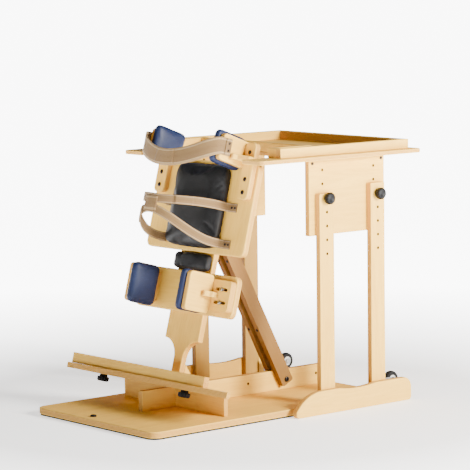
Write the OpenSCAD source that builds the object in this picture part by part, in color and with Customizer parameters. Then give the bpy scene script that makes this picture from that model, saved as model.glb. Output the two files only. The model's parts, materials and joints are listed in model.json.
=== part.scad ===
// Child's wooden prone standing frame with a tray table.
// A padded spine board leans forward on a propping strut above a footplate, and
// a height-adjustable tray stands over the same base on two runners.
// Millimetres, +Z up, +X the way the user faces, +Y to the user's left.
// The origin is on the floor under the middle of the frame.

/* [Base] */
// Length of the base board
base_l = 880; // [800:5:900]
// Width of the base board
base_w = 536; // [500:2:560]
// Thickness of the base board
base_t = 18; // [12:1:22]
// Corner radius of the base board
base_r = 30; // [10:1:60]
// Distance from the origin back to the rear edge of the base
base_back = 485; // [470:5:520]
// Thickness of the non-slip mat under the base
mat_t = 4; // [2:0.5:6]
// How far the mat stays inside the edge of the base
mat_inset = 3; // [1:0.5:10]

/* [Centre rail] */
// Length of the centre rail
rail_l = 694; // [680:2:760]
// Thickness of the centre rail
rail_t = 18; // [14:1:22]
// Height of the centre rail
rail_h = 58; // [54:1:66]
// Distance from the origin back to the rear end of the rail
rail_back = 317; // [300:1:330]
// Spacing of the three strut holes
strut_hole_pitch = 132; // [100:2:140]
// Height of the strut holes above the base board
strut_hole_rise = 32; // [30:1:38]
// Distance of the front strut hole from the rail's front end
strut_hole_in = 42; // [30:1:55]

/* [Spine] */
// Lean of the spine board from upright, in degrees
lean = 15; // [10:0.5:18]
// Distance from the origin back to the tilt pivot
pivot_back = 150; // [146:0.5:152]
// Height of the tilt pivot above the base board
pivot_rise = 34; // [30:0.5:38]
// Set-back of the spine's padded face behind the tilt pivot
spine_setback = 56.5; // [54:0.5:60]
// Thickness of the spine board and of the boards fixed to it
board_t = 18; // [14:1:20]
// Width of the spine board
spine_w = 148; // [130:2:170]
// Height of the spine's lower end along the lean
spine_low = 30; // [28:1:36]
// Height of the spine's upper end along the lean
spine_high = 640; // [600:5:660]
// Width of the stem between the foot arches
stem_w = 38; // [34:1:44]
// Radius of each foot arch
arch_r = 55; // [40:1:58]
// Height of the springing of the foot arches along the lean
arch_low = 88; // [80:1:100]
// Width of the pivot cheeks at the pivot
cheek_w = 40; // [30:1:42]
// Radius of the pivot bolts
pivot_r = 4; // [3:0.25:5]

/* [Strut] */
// Height of the strut hinge along the lean
hinge_high = 477; // [460:1:490]
// Distance of the strut hinge in front of the spine
hinge_out = 24.7; // [24:0.1:28]
// Width of each strut bar
strut_w = 42; // [36:1:44]
// Thickness of each strut bar
strut_t = 18; // [12:1:20]

/* [Chest and thigh support] */
// Width of the chest board
chest_w = 430; // [400:2:436]
// Height of the chest board's lower edge along the lean
chest_low = 393; // [380:1:400]
// Height of the chest board's upper edge along the lean
chest_high = 654; // [640:1:665]
// Corner radius of the chest and knee boards
board_r = 18; // [8:1:26]
// Width of the chest pad
chest_pad_w = 230; // [200:2:240]
// Thickness of the chest pad at its edge
chest_pad_t = 32; // [24:1:40]
// Width of the thigh pad
thigh_pad_w = 152; // [130:2:160]
// Thickness of the thigh pad at its edge
thigh_pad_t = 26; // [18:1:32]

/* [Side supports] */
// Distance of the chest plates' outer faces from the middle
chest_plate_out = 161; // [160:1:168]
// Depth of the chest plates behind their brackets
chest_plate_d = 84; // [70:2:100]
// Height of the chest plates
chest_plate_h = 76; // [70:1:84]
// Height of the chest plates' lower edges along the lean
chest_plate_low = 636; // [628:1:640]
// Extra tilt of the chest plates against the lean
chest_plate_tilt = 6; // [0:0.5:7]
// Thickness of the side pads at their edges
side_pad_t = 22; // [16:1:28]
// How far the side pads stand past their plates
side_pad_over = 12; // [6:1:16]
// Distance of the chest brackets' outer edges from the middle
bracket_out = 206; // [200:1:208]
// Height of the chest brackets' lower ends along the lean
bracket_low = 550; // [540:1:560]
// Height of the chest brackets' upper ends along the lean
bracket_high = 712; // [700:1:735]
// Thickness of the corner gussets
gusset_t = 16; // [12:1:18]
// Reach of the chest gussets along the chest plates
chest_gusset_d = 52; // [40:1:60]

/* [Knee support] */
// Width of the knee board
knee_w = 430; // [410:2:436]
// Height of the knee board's lower edge along the lean
knee_low = 220; // [210:1:226]
// Height of the knee board's upper edge along the lean
knee_high = 338; // [330:1:340]
// Distance of the knee plates' outer faces from the middle
knee_plate_out = 137; // [130:1:142]
// Depth of the knee plates behind their slide plates
knee_plate_d = 87; // [70:1:100]
// Height of the knee plates
knee_plate_h = 110; // [90:1:114]
// Height of the slotted slide plates
slide_h = 88; // [76:1:92]
// Distance of the slide plates' outer edges from the middle
slide_out = 212; // [206:1:214]
// Length of the adjustment slots
slot_l = 50; // [46:1:54]
// Width of the adjustment slots
slot_w = 9; // [8:0.5:11]
// Spacing of the two slots in a slide plate
slot_pitch = 37; // [32:1:44]

/* [Footplate] */
// Width of the footplate at its rear edge
foot_w = 716; // [680:2:740]
// Width of the footplate at its front edge
foot_front_w = 300; // [260:2:330]
// Depth of the footplate along its slope
foot_d = 182; // [170:1:186]
// Thickness of the footplate
foot_t = 16; // [12:0.5:18]
// Slope of the footplate down to the front, in degrees
foot_tilt = 15; // [10:0.5:18]
// Distance from the origin back to the footplate's rear edge
foot_back = 306; // [300:1:312]
// Height of the footplate's rear edge above the base board
foot_rise = 82; // [78:1:86]
// Width of the bearer under the footplate
bearer_w = 446; // [400:2:450]
// Thickness of the bearer
bearer_t = 13; // [10:0.5:16]
// Distance from the origin back to the bearer's rear face
bearer_back = 200; // [198:1:202]
// Length of the heel rail
heel_l = 595; // [560:5:600]
// Thickness of the heel rail
heel_t = 18; // [14:1:22]
// Height of the heel rail
heel_h = 30; // [20:1:40]
// Sideways shift of the heel rail's middle to the left
heel_shift = 60; // [40:1:60]
// Sideways shift of the heel rail's knobs to the left
heel_knob_shift = 28; // [0:1:40]
// Distance of the heel rail's knobs each way from there
heel_knob_out = 183; // [170:1:196]
// Travel of the heel rail each way
heel_travel = 12; // [8:1:16]

/* [Table legs] */
// Height of the runners
runner_h = 68; // [60:1:76]
// Thickness of the runners
runner_t = 18; // [14:1:20]
// Distance from the origin to the runners' front ends
runner_front = 440; // [420:2:450]
// Width of the table legs
leg_w = 54; // [46:1:60]
// Thickness of the table legs
leg_t = 18; // [14:1:20]
// Distance from the origin to the rear legs' rear edges
leg_x = 104; // [96:1:112]
// Spacing of the rear and front legs
leg_pitch = 196; // [186:1:204]
// Height of the rear legs' tops above the floor
rear_leg_top = 620; // [612:1:640]
// Height of the front legs' tops above the floor
front_leg_top = 637; // [625:1:650]
// Spacing of the height holes
hole_pitch = 39; // [36:0.5:42]
// Radius of the height holes
hole_r = 4; // [3.5:0.25:5]
// Height of the table knobs above the floor
knob_z = 606; // [596:1:608]
// Diameter of the knobs
knob_d = 34; // [28:1:40]
// Height of the knobs
knob_h = 20; // [14:1:26]

/* [Tray] */
// Length of the tray
tray_l = 610; // [590:2:620]
// Width of the tray
tray_w = 610; // [590:2:640]
// Thickness of the tray board
tray_t = 12; // [9:0.5:15]
// Height of the tray board's underside above the floor
tray_z = 714; // [700:1:730]
// Distance from the origin to the tray's front edge
tray_front = 485; // [470:1:500]
// Corner radius of the tray
tray_r = 14; // [6:1:20]
// Width of the cut-out for the chest
cut_w = 444; // [442:1:450]
// Depth of the cut-out for the chest
cut_d = 225; // [215:1:232]
// Height of the tray rim
rim_h = 27; // [20:1:34]
// Thickness of the tray rim
rim_t = 18; // [12:1:20]
// Set-in of the rim from the tray's front and side edges
rim_in = 27; // [18:1:30]
// Set-in of the rim from the tray's rear edge
rim_rear_in = 93; // [86:1:100]
// Width of the side panels under the tray
panel_w = 289; // [284:1:300]
// Height of the side panels under the tray
panel_h = 213; // [200:1:230]
// Thickness of the side panels
panel_t = 18; // [12:1:20]
// Distance from the origin to the side panels' rear edges
panel_x = 81; // [74:1:90]

/* [Wheels] */
// Radius of the transit wheels
wheel_r = 24.5; // [20:0.5:28]
// Width of the transit wheels
wheel_w = 18; // [14:1:22]
// Distance from the origin to the wheel axles
wheel_x = 427; // [424:1:430]
// Height of the wheel axles above the floor
wheel_z = 52; // [48:1:56]
// Distance of the wheels' middles in from the base board's edges
wheel_in = 38; // [34:1:48]
// Radius of the wheel axles
axle_r = 4; // [3:0.25:5]

/* [Straps] */
// Width of the chest strap
chest_strap_w = 48; // [40:1:52]
// Width of the waist and hip straps
hip_strap_w = 25; // [20:1:28]
// Thickness of the webbing
strap_t = 2.5; // [2:0.25:3]
// Reach of the chest strap behind the chest plates
chest_strap_reach = 60; // [40:2:80]
// Reach of the waist and hip straps behind the chest pad
hip_strap_reach = 150; // [130:2:180]
// Height of the waist strap's ends along the lean
waist_high = 527; // [515:1:535]
// Height of the hip strap's ends along the lean
hip_high = 423; // [415:1:430]

/* [Hidden] */
$fn = 48;

wood = "burlywood";
blue = "steelblue";
black = "dimgray";
steel = "silver";
webbing = "tan";

// Small sizes that the pieces share
gap = 0.4;
running = 0.05;
over = 1;
wrap = 2;

// Heights above the floor
base_top = mat_t + base_t;
foot_low = base_top + foot_rise;
tray_top = tray_z + tray_t;
pivot_z = base_top + pivot_rise;
strut_hole_z = base_top + strut_hole_rise;

// Sideways places, from the middle outwards
leg_in = base_w / 2;
leg_out = leg_in + leg_t;
panel_out = leg_in - gap;
strut_in = rail_t / 2 + gap;

// Depths in the leaning frame, measured forwards from the tilt pivot
spine_back = -spine_setback;
spine_front = spine_back + board_t;
board_back = spine_back - board_t;
plate_back = board_back - board_t;

// Strut hinge in the leaning frame, the rail's middle strut hole, and the strut's own line
strut_hole_x = rail_l - rail_back - strut_hole_in - strut_hole_pitch;
hinge_x = spine_front + hinge_out;
hinge_world_x = -pivot_back + hinge_x * cos(lean) + hinge_high * sin(lean);
hinge_world_z = pivot_z - hinge_x * sin(lean) + hinge_high * cos(lean);
strut_run = strut_hole_x - hinge_world_x;
strut_drop = hinge_world_z - strut_hole_z;
strut_len = norm([strut_run, strut_drop]);
strut_angle = atan2(strut_run, strut_drop);

// Fasteners
bolt_r = 4;
bolt_head_r = 8;
bolt_head_h = 4;
washer_r = 10;
washer_t = 1.5;

// A rounded rectangle between two corners
module round_rect(low, high, r) {
  translate([low.x + r, low.y]) square([high.x - low.x - 2 * r, high.y - low.y]);
  translate([low.x, low.y + r]) square([high.x - low.x, high.y - low.y - 2 * r]);
  for (x = [low.x + r, high.x - r], y = [low.y + r, high.y - r]) translate([x, y]) circle(r);
}

// A slot with round ends along the first axis
module slot(length, width) {
  square([length - width, width], center = true);
  for (side = [-1, 1]) translate([side * (length - width) / 2, 0]) circle(d = width);
}

// Places a drawing of Y and Z as a plate that starts at depth x
module frontal(x, t) translate([x, 0, 0]) rotate([90, 0, 90]) linear_extrude(t) children();

// Places a drawing of X and Z as a plate that starts at y
module sideways(y, t) translate([0, y + t, 0]) rotate([90, 0, 0]) linear_extrude(t) children();

// Puts pieces in the leaning frame of the spine
module leaning() translate([-pivot_back, 0, pivot_z]) rotate([0, lean, 0]) children();

// Puts pieces in the strut's frame: hinge at the origin, foot down the Z axis
module strutting() translate([hinge_world_x, 0, hinge_world_z]) rotate([0, -strut_angle, 0]) children();

// A round bar along Y between two places
module bar_y(r, from, to) translate([0, to, 0]) rotate([90, 0, 0]) cylinder(h = to - from, r = r);

// A round bar along X between two places
module bar_x(r, from, to) translate([from, 0, 0]) rotate([0, 90, 0]) cylinder(h = to - from, r = r);

// Mirrors right-hand pieces to the left
module on_left() mirror([0, 1, 0]) children();

// Outline share of a cushion at an angle, with sides that pull in between the corners
cushion_square = 7;
cushion_pinch_share = 0.03;
cushion_sides = 40;
function power(v, e) = sign(v) * pow(abs(v), e);
function cushion_point(a, w, h, inset) =
  let (u = power(cos(a), 2 / cushion_square), v = power(sin(a), 2 / cushion_square))
  [(w / 2 - inset) * u * (1 - cushion_pinch_share * (1 - v * v)),
   (h / 2 - inset) * v * (1 - cushion_pinch_share * (1 - u * u))];

// A cushion on the XY plane: flat back, drawn-in sides and a crowned front
cushion_inset_shares = [0.1, 0, 0, 0.12, 0.5, 1.2, 2.2];
cushion_rise_shares = [0, 0.3, 0.65, 0.92, 1, 1, 1];
cushion_crown_shares = [0, 0, 0, 0, 0.25, 0.65, 0.9];
module cushion(w, h, t, crown) {
  rings = len(cushion_rise_shares);
  n = cushion_sides;
  points = concat(
    [for (k = [0 : rings - 1], i = [0 : n - 1])
      let (p = cushion_point(360 * i / n, w, h, cushion_inset_shares[k] * t))
      [p.x, p.y, cushion_rise_shares[k] * t + cushion_crown_shares[k] * crown]],
    [[0, 0, 0], [0, 0, t + crown]]);
  faces = concat(
    [for (k = [0 : rings - 2], i = [0 : n - 1]) let (j = (i + 1) % n)
      [k * n + i, (k + 1) * n + j, k * n + j]],
    [for (k = [0 : rings - 2], i = [0 : n - 1]) let (j = (i + 1) % n)
      [k * n + i, (k + 1) * n + i, (k + 1) * n + j]],
    [for (i = [0 : n - 1]) [rings * n, i, (i + 1) % n]],
    [for (i = [0 : n - 1]) let (top = (rings - 1) * n) [rings * n + 1, top + (i + 1) % n, top + i]]);
  polyhedron(points, faces);
}

// A flat band of webbing along a path, upright across its width
function flat(v) = let (l = norm([v.x, v.y])) [v.y / l, -v.x / l, 0];
module band(path, w, t) {
  n = len(path);
  points = [for (i = [0 : n - 1])
    let (s = flat(path[min(i + 1, n - 1)] - path[max(i - 1, 0)]) * t / 2, up = [0, 0, w / 2])
    each [path[i] - s - up, path[i] + s - up, path[i] + s + up, path[i] - s + up]];
  faces = concat(
    [for (i = [0 : n - 2], k = [0 : 3]) let (j = (k + 1) % 4) [4 * i + k, 4 * i + j, 4 * i + 4 + j]],
    [for (i = [0 : n - 2], k = [0 : 3]) let (j = (k + 1) % 4) [4 * i + k, 4 * i + 4 + j, 4 * i + 4 + k]],
    [[0, 2, 1], [0, 3, 2]],
    [let (e = 4 * n - 4) each [[e, e + 1, e + 2], [e, e + 2, e + 3]]]);
  polyhedron(points, faces);
}

// Base, rail and footplate

module base_board() color(wood)
  translate([0, 0, mat_t]) linear_extrude(base_t)
    round_rect([-base_back, -base_w / 2], [base_l - base_back, base_w / 2], base_r);

module non_slip_mat() color(black)
  linear_extrude(mat_t)
    round_rect([mat_inset - base_back, mat_inset - base_w / 2],
      [base_l - base_back - mat_inset, base_w / 2 - mat_inset], base_r - mat_inset);

module centre_rail() color(wood) difference() {
  translate([-rail_back, -rail_t / 2, base_top]) cube([rail_l, rail_t, rail_h]);
  for (k = [-1 : 1])
    translate([strut_hole_x + k * strut_hole_pitch, 0, strut_hole_z]) bar_y(bolt_r, -rail_t, rail_t);
  translate([-pivot_back, 0, pivot_z]) bar_y(pivot_r + running, -rail_t, rail_t);
}

// Puts pieces in the footplate's frame: rear lower edge at the origin, sloping down to the front
module footing() translate([-foot_back, 0, foot_low]) rotate([0, foot_tilt, 0]) children();
function foot_under(x) = foot_low - (x + foot_back) * tan(foot_tilt);

// Two bearers, one each side of the rail, cut to the footplate's slope
bearer_front = bearer_t - bearer_back;
module foot_bearer() color(wood) for (side = [-1, 1])
  sideways(side > 0 ? rail_t / 2 : -bearer_w / 2, (bearer_w - rail_t) / 2)
    polygon([[-bearer_back, base_top], [bearer_front, base_top], [bearer_front, foot_under(bearer_front)],
      [-bearer_back, foot_under(-bearer_back)]]);

// Room for the rail and the pivot cheeks in the footplate, and the heel rail's set-in
stem_room = 7;
heel_in = 24;
foot_end = 10;
foot_notch_w = stem_w + 2 * stem_room;
foot_notch_in = (foot_rise - rail_h) / sin(foot_tilt) - stem_room;
module footplate() color(wood) footing() linear_extrude(foot_t) difference() {
  polygon([[0, -foot_w / 2], [foot_end, -foot_w / 2], [foot_d, -foot_front_w / 2],
    [foot_d, foot_front_w / 2], [foot_end, foot_w / 2], [0, foot_w / 2]]);
  translate([foot_notch_in, -foot_notch_w / 2]) square([foot_d, foot_notch_w]);
  for (side = [-1, 1])
    translate([heel_in, heel_knob_shift + side * heel_knob_out]) slot(2 * heel_travel + slot_w, slot_w);
}

module heel_rail() color(wood) footing() difference() {
  translate([heel_in - heel_t / 2, heel_shift - heel_l / 2, foot_t + gap]) cube([heel_t, heel_l, heel_h]);
  for (side = [-1, 1])
    translate([heel_in, heel_knob_shift + side * heel_knob_out, foot_t])
      cylinder(h = heel_stud - foot_t + over, r = stud_r + running);
}

// Runners and legs

tail_l = 108;
nose_l = 97;
nose_h = 18;
toe_r = 30;
heel_r = 10;
scoop_d = 6;
runner_back = leg_x - tail_l;
nose_end = runner_back + nose_l;
nose_drop = runner_h - nose_h;
nose_r = (nose_l * nose_l + nose_drop * nose_drop) / (2 * nose_drop);
scoop_l = leg_pitch - leg_w;
scoop_r = (scoop_l * scoop_l / 4 + scoop_d * scoop_d) / (2 * scoop_d);
module runner_outline() difference() {
  union() {
    polygon([[runner_back, heel_r], [runner_back + heel_r, 0], [runner_front - heel_r, 0],
      [runner_front, heel_r],
      [runner_front, runner_h - toe_r], [runner_front - toe_r, runner_h], [nose_end, runner_h],
      [nose_end, nose_h], [runner_back, nose_h]]);
    intersection() {
      translate([nose_end, runner_h - nose_r]) circle(nose_r, $fn = 96);
      translate([runner_back, nose_h]) square([nose_l, nose_drop]);
    }
    translate([runner_front - toe_r, runner_h - toe_r]) circle(toe_r);
    for (x = [runner_back + heel_r, runner_front - heel_r]) translate([x, heel_r]) circle(heel_r);
  }
  translate([leg_x + (leg_pitch + leg_w) / 2, runner_h + scoop_r - scoop_d]) circle(scoop_r, $fn = 96);
}

module right_runner() color(wood) sideways(-leg_out - runner_t, runner_t) runner_outline();
module left_runner() on_left() right_runner();

// A leg with its row of height holes
leg_holes = 5;
module leg(x, top) color(wood) sideways(-leg_out, leg_t) difference() {
  translate([x, mat_t]) square([leg_w, top - mat_t]);
  for (k = [0 : leg_holes - 1]) translate([x + leg_w / 2, knob_z - k * hole_pitch]) circle(hole_r);
}
module right_rear_leg() leg(leg_x, rear_leg_top);
module right_front_leg() leg(leg_x + leg_pitch, front_leg_top);
module left_rear_leg() on_left() right_rear_leg();
module left_front_leg() on_left() right_front_leg();

// Knobs: a ribbed cap on a collar, with a stud
stud_r = 3.5;
knob_ribs = 12;
rib_r = 2.2;
collar_share = 0.3;
heel_stud = foot_t + heel_h / 2;
module knob(stud) {
  cap_low = knob_h * collar_share;
  cylinder(h = knob_h, r = knob_d / 2 - rib_r);
  cylinder(h = cap_low + over, r = knob_d / 3);
  for (i = [0 : knob_ribs - 1])
    rotate([0, 0, 360 * i / knob_ribs]) translate([knob_d / 2 - rib_r, 0, cap_low])
      cylinder(h = knob_h - cap_low, r = rib_r, $fn = 16);
  translate([0, 0, -stud]) cylinder(h = stud + over, r = stud_r);
}
module table_knob(x) color(black)
  translate([x + leg_w / 2, -leg_out - gap, knob_z]) rotate([90, 0, 0]) knob(leg_t);
module right_rear_knob() table_knob(leg_x);
module right_front_knob() table_knob(leg_x + leg_pitch);
module left_rear_knob() on_left() right_rear_knob();
module left_front_knob() on_left() right_front_knob();

module heel_knob(side) color(black) footing()
  translate([heel_in, heel_knob_shift + side * heel_knob_out, -gap]) rotate([180, 0, 0]) knob(heel_stud);
module right_heel_knob() heel_knob(-1);
module left_heel_knob() heel_knob(1);

// Transit wheels

bracket_t = 3;
bracket_l = 46;
bracket_h = 42;
bracket_lap = 30;
wheel_out = base_w / 2 - wheel_in;
bracket_y = -wheel_out - wheel_w / 2 - wrap - bracket_t;
base_front = base_l - base_back;
module right_wheel_bracket() difference() {
  union() {
    sideways(bracket_y, bracket_t) {
      polygon([[base_front - bracket_l, base_top], [base_front, base_top], [wheel_x + 2 * axle_r, wheel_z],
        [wheel_x, wheel_z + 2 * axle_r], [base_front - bracket_l, base_top + bracket_h]]);
      translate([wheel_x, wheel_z]) circle(2 * axle_r);
    }
    translate([base_front - bracket_l, bracket_y, base_top])
      cube([bracket_l - base_r / 2, bracket_lap, bracket_t]);
  }
  translate([wheel_x, 0, wheel_z]) bar_y(axle_r + running, bracket_y - over, bracket_y + bracket_t + over);
}
module wheel_brackets() color(steel) {
  right_wheel_bracket();
  on_left() right_wheel_bracket();
}

axle_end_h = 4;
module right_axle() translate([wheel_x, 0, wheel_z]) {
  bar_y(axle_r, bracket_y, -wheel_out + wheel_w / 2 + wrap);
  bar_y(2 * axle_r, bracket_y - axle_end_h, bracket_y);
  bar_y(2 * axle_r, -wheel_out + wheel_w / 2 + wrap, -wheel_out + wheel_w / 2 + wrap + axle_end_h);
}
module wheel_axles() color(steel) {
  right_axle();
  on_left() right_axle();
}

// A tyre on its hub, turning on the axle
hub_share = 0.6;
hub_r = wheel_r * hub_share;
tread_r = 3;
module at_wheel() translate([wheel_x, -wheel_out, wheel_z]) rotate([90, 0, 0]) children();
module right_tyre() color(black) at_wheel() rotate_extrude($fn = 64) difference() {
  round_rect([hub_r - tread_r, -wheel_w / 2], [wheel_r, wheel_w / 2], tread_r);
  translate([0, -wheel_w]) square([hub_r, 2 * wheel_w]);
}
module right_hub() color("white") at_wheel() difference() {
  cylinder(h = wheel_w + wrap, r = hub_r, center = true);
  cylinder(h = wheel_w + 2 * wrap, r = axle_r + running, center = true);
}
module left_tyre() on_left() right_tyre();
module left_hub() on_left() right_hub();

// Spine

module spine_board() color(wood) leaning() frontal(spine_back, board_t) difference() {
  translate([-spine_w / 2, spine_low]) square([spine_w, spine_high - spine_low]);
  for (side = [-1, 1]) {
    arch_x = side * (stem_w / 2 + arch_r);
    translate([arch_x, arch_low]) circle(arch_r, $fn = 96);
    translate([min(side * stem_w / 2, side * spine_w), spine_low - over])
      square([spine_w - stem_w / 2, arch_low - spine_low + over]);
    translate([min(arch_x, arch_x + side * spine_w), spine_low - over])
      square([spine_w, arch_low - spine_low + arch_r + over]);
  }
}

cheek_up = 6;
cheek_low = spine_low + cheek_up;
cheek_high = cheek_low + cheek_w;
module cheek_outline() {
  circle(cheek_w / 2);
  polygon([[-cheek_w / 2, 0], [cheek_w / 2, 0], [spine_front + cheek_w, cheek_high - cheek_w],
    [spine_front, cheek_high], [spine_front, cheek_low]]);
}
module pivot_cheeks() color(wood) leaning() for (side = [-1, 1])
  sideways(side > 0 ? strut_in : -stem_w / 2, stem_w / 2 - strut_in) difference() {
    cheek_outline();
    circle(pivot_r + running);
  }

// A headed bolt along Y: shank to the outer faces, with a head at each end
module cross_bolt(r, half) {
  bar_y(r, -half, half);
  for (side = [-1, 1])
    translate([0, side * half, 0]) rotate([-side * 90, 0, 0]) cylinder(h = bolt_head_h, r = bolt_head_r);
}
module tilt_pivot_bolt() color(steel) leaning() cross_bolt(pivot_r, stem_w / 2);

block_w = 44;
eye_r = 3 * pivot_r;
block_low = hinge_high - block_w;
block_high = hinge_high + block_w;
module strut_hinge_block() color(wood) leaning() sideways(-rail_t / 2, rail_t) difference() {
  union() {
    polygon([[spine_front, block_low], [hinge_x, hinge_high - eye_r], [hinge_x, hinge_high + eye_r],
      [spine_front, block_high]]);
    translate([hinge_x, hinge_high]) circle(eye_r);
  }
  translate([hinge_x, hinge_high]) circle(pivot_r + running);
}

// Strut

strut_end = 14;
strut_end_r = 6;
module strut_bar() strutting() sideways(-strut_in - strut_t, strut_t) difference() {
  union() {
    translate([-strut_w / 2, -strut_len]) square([strut_w, strut_len]);
    circle(strut_w / 2);
    round_rect([-strut_w / 2, -strut_len - strut_end], [strut_w / 2, strut_end - strut_len], strut_end_r);
  }
  circle(pivot_r + running);
  translate([0, -strut_len]) circle(bolt_r + running);
}
module strut_bars() color(wood) {
  strut_bar();
  on_left() strut_bar();
}

spacer_top = 52;
spacer_foot = 72;
spacer_recess = 10;
module strut_spacer() color(wood) strutting()
  translate([spacer_recess - strut_w / 2, -strut_in, spacer_foot - strut_len])
    cube([strut_w - 2 * spacer_recess, 2 * strut_in, strut_len - spacer_foot - spacer_top]);

module strut_pivot_bolt() color(steel) leaning() translate([hinge_x, 0, hinge_high])
  cross_bolt(pivot_r, strut_in + strut_t);

module strut_foot_bolts() color(steel) strutting() translate([0, 0, -strut_len]) for (side = [-1, 1])
  rotate([-side * 90, 0, 0]) {
    translate([0, 0, strut_in]) cylinder(h = strut_t + over, r = bolt_r);
    translate([0, 0, strut_in + strut_t]) cylinder(h = bolt_head_h, r = bolt_head_r);
  }

// Chest, thigh and knee boards

module chest_board() color(wood) leaning() frontal(board_back, board_t)
  round_rect([-chest_w / 2, chest_low], [chest_w / 2, chest_high], board_r);

module knee_board() color(wood) leaning() frontal(board_back, board_t)
  round_rect([-knee_w / 2, knee_low], [knee_w / 2, knee_high], board_r);

// Puts a cushion's flat back on a face that looks backwards
module backwards(x, z) translate([x, 0, z]) rotate([90, 0, -90]) children();

chest_pad_margin = 6;
chest_pad_crown = 8;
module chest_pad() color(black) leaning() backwards(board_back, (chest_low + chest_high) / 2)
  cushion(chest_pad_w, chest_high - chest_low - 2 * chest_pad_margin, chest_pad_t, chest_pad_crown);

thigh_gap = 2;
module thigh_pad() color(black) leaning() backwards(spine_back, (knee_high + chest_low) / 2)
  cushion(thigh_pad_w, chest_low - knee_high - 2 * thigh_gap, thigh_pad_t, chest_pad_crown / 2);

// Nuts on the spine's front face that hold the chest and knee boards
board_bolt_side = 24;
board_bolt_y = spine_w / 2 - board_bolt_side;
board_bolt_in = 30;
module board_bolts() color(steel) leaning()
  for (y = [-board_bolt_y, board_bolt_y], z = [knee_low + board_bolt_in, knee_high - board_bolt_in,
      chest_low + board_bolt_in, spine_high - board_bolt_in])
    translate([0, y, z]) {
      bar_x(washer_r, spine_front, spine_front + washer_t);
      bar_x(bolt_head_r, spine_front + washer_t, spine_front + washer_t + 2 * bolt_head_h);
    }

// Chest side supports

chest_plate_in = chest_plate_out - board_t;
bracket_r = 14;
module right_chest_bracket() leaning() frontal(plate_back, board_t)
  round_rect([-bracket_out, bracket_low], [-chest_plate_out, bracket_high], bracket_r);
module chest_brackets() color(wood) {
  right_chest_bracket();
  on_left() right_chest_bracket();
}

plate_r = 10;
chest_plate_l = chest_plate_d + board_t;
chest_plate_mid = chest_plate_low + chest_plate_h / 2;
module tilted_chest() translate([board_back, 0, chest_plate_mid]) rotate([0, chest_plate_tilt, 0]) children();
// A plate's front end is cut to stand flat on the chest board
module right_chest_plate() color(wood) leaning() tilted_chest() sideways(-chest_plate_out, board_t) {
  half = chest_plate_h / 2;
  slant = half * tan(chest_plate_tilt);
  round_rect([-chest_plate_l, -half], [-plate_r, half], plate_r);
  polygon([[-2 * plate_r, -half], [slant, -half], [-slant, half], [-2 * plate_r, half]]);
}
module left_chest_plate() on_left() right_chest_plate();

// A flat corner piece between a side plate and the face in front of it
module gusset(out, reach, depth, z) translate([plate_back, -out, z]) mirror([0, 1, 0]) mirror([1, 0, 0])
  linear_extrude(gusset_t) {
    square([depth - gusset_t / 2, gusset_t]);
    translate([depth - gusset_t / 2, gusset_t / 2]) circle(gusset_t / 2);
    polygon([[0, 0], [depth - gusset_t, 0], [depth - gusset_t / 2, gusset_t / 2],
      [gusset_t, reach], [0, reach]]);
  }
chest_gusset_share = 0.25;
module right_chest_gusset() leaning()
  gusset(chest_plate_out, bracket_out - chest_plate_out, chest_gusset_d,
    chest_plate_low + chest_plate_h * chest_gusset_share);
module chest_gussets() color(wood) {
  right_chest_gusset();
  on_left() right_chest_gusset();
}

// Puts a cushion's flat back on a right-hand plate's inner face, looking to the middle
module inwards(x, y, z) translate([x, y, z]) rotate([-90, 0, 0]) children();
side_pad_crown = 5;
module right_chest_pad() color(blue) leaning() tilted_chest()
  inwards(-(chest_plate_l + side_pad_over) / 2, -chest_plate_in, 0)
    cushion(chest_plate_l + side_pad_over - 2 * gap, chest_plate_h + 2 * side_pad_over,
      side_pad_t, side_pad_crown);
module left_chest_pad() on_left() right_chest_pad();

// Screw heads on each chest bracket: one above the gusset and two below the plate
chest_bolt_y = (bracket_out + chest_plate_out) / 2;
chest_bolt_in = 1.5 * bracket_r;
chest_bolt_heights = [bracket_low + chest_bolt_in, chest_plate_low - 2 * bracket_r,
  bracket_high - 2 * bracket_r];
screw_head_r = 4.5;
screw_head_h = 2;
module right_chest_bolts() leaning() for (z = chest_bolt_heights) translate([0, -chest_bolt_y, z])
  bar_x(screw_head_r, plate_back - screw_head_h, plate_back);
module chest_bolts() color(steel) {
  right_chest_bolts();
  on_left() right_chest_bolts();
}

// Knee side supports, sliding sideways on slots

slide_mid = (knee_low + knee_high) / 2;
slot_mid = (slide_out + knee_plate_out) / 2;
knee_slide_back = plate_back - gap;
knee_plate_in = knee_plate_out - board_t;
module right_knee_slide_plate() color(wood) leaning() frontal(knee_slide_back, board_t) difference() {
  round_rect([-slide_out, slide_mid - slide_h / 2], [-knee_plate_in, slide_mid + slide_h / 2], plate_r);
  for (k = [-0.5, 0.5]) translate([-slot_mid, slide_mid + k * slot_pitch]) slot(slot_l, slot_w);
}
module left_knee_slide_plate() on_left() right_knee_slide_plate();

module right_knee_plate() color(wood) leaning() sideways(-knee_plate_out, board_t)
  round_rect([knee_slide_back - knee_plate_d, slide_mid - knee_plate_h / 2],
    [knee_slide_back, slide_mid + knee_plate_h / 2], plate_r);
module left_knee_plate() on_left() right_knee_plate();

knee_gusset_d = 40;
knee_gusset_reach = 26;
module right_knee_gusset() color(wood) leaning() translate([-gap, 0, 0])
  gusset(knee_plate_out, knee_gusset_reach, knee_gusset_d, slide_mid - gusset_t / 2);
module left_knee_gusset() on_left() right_knee_gusset();

module right_knee_pad() color(blue) leaning()
  inwards(knee_slide_back - (knee_plate_d + side_pad_over) / 2, -knee_plate_in, slide_mid)
    cushion(knee_plate_d + side_pad_over - 2 * gap, knee_plate_h + side_pad_over,
      side_pad_t, side_pad_crown);
module left_knee_pad() on_left() right_knee_pad();

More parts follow.
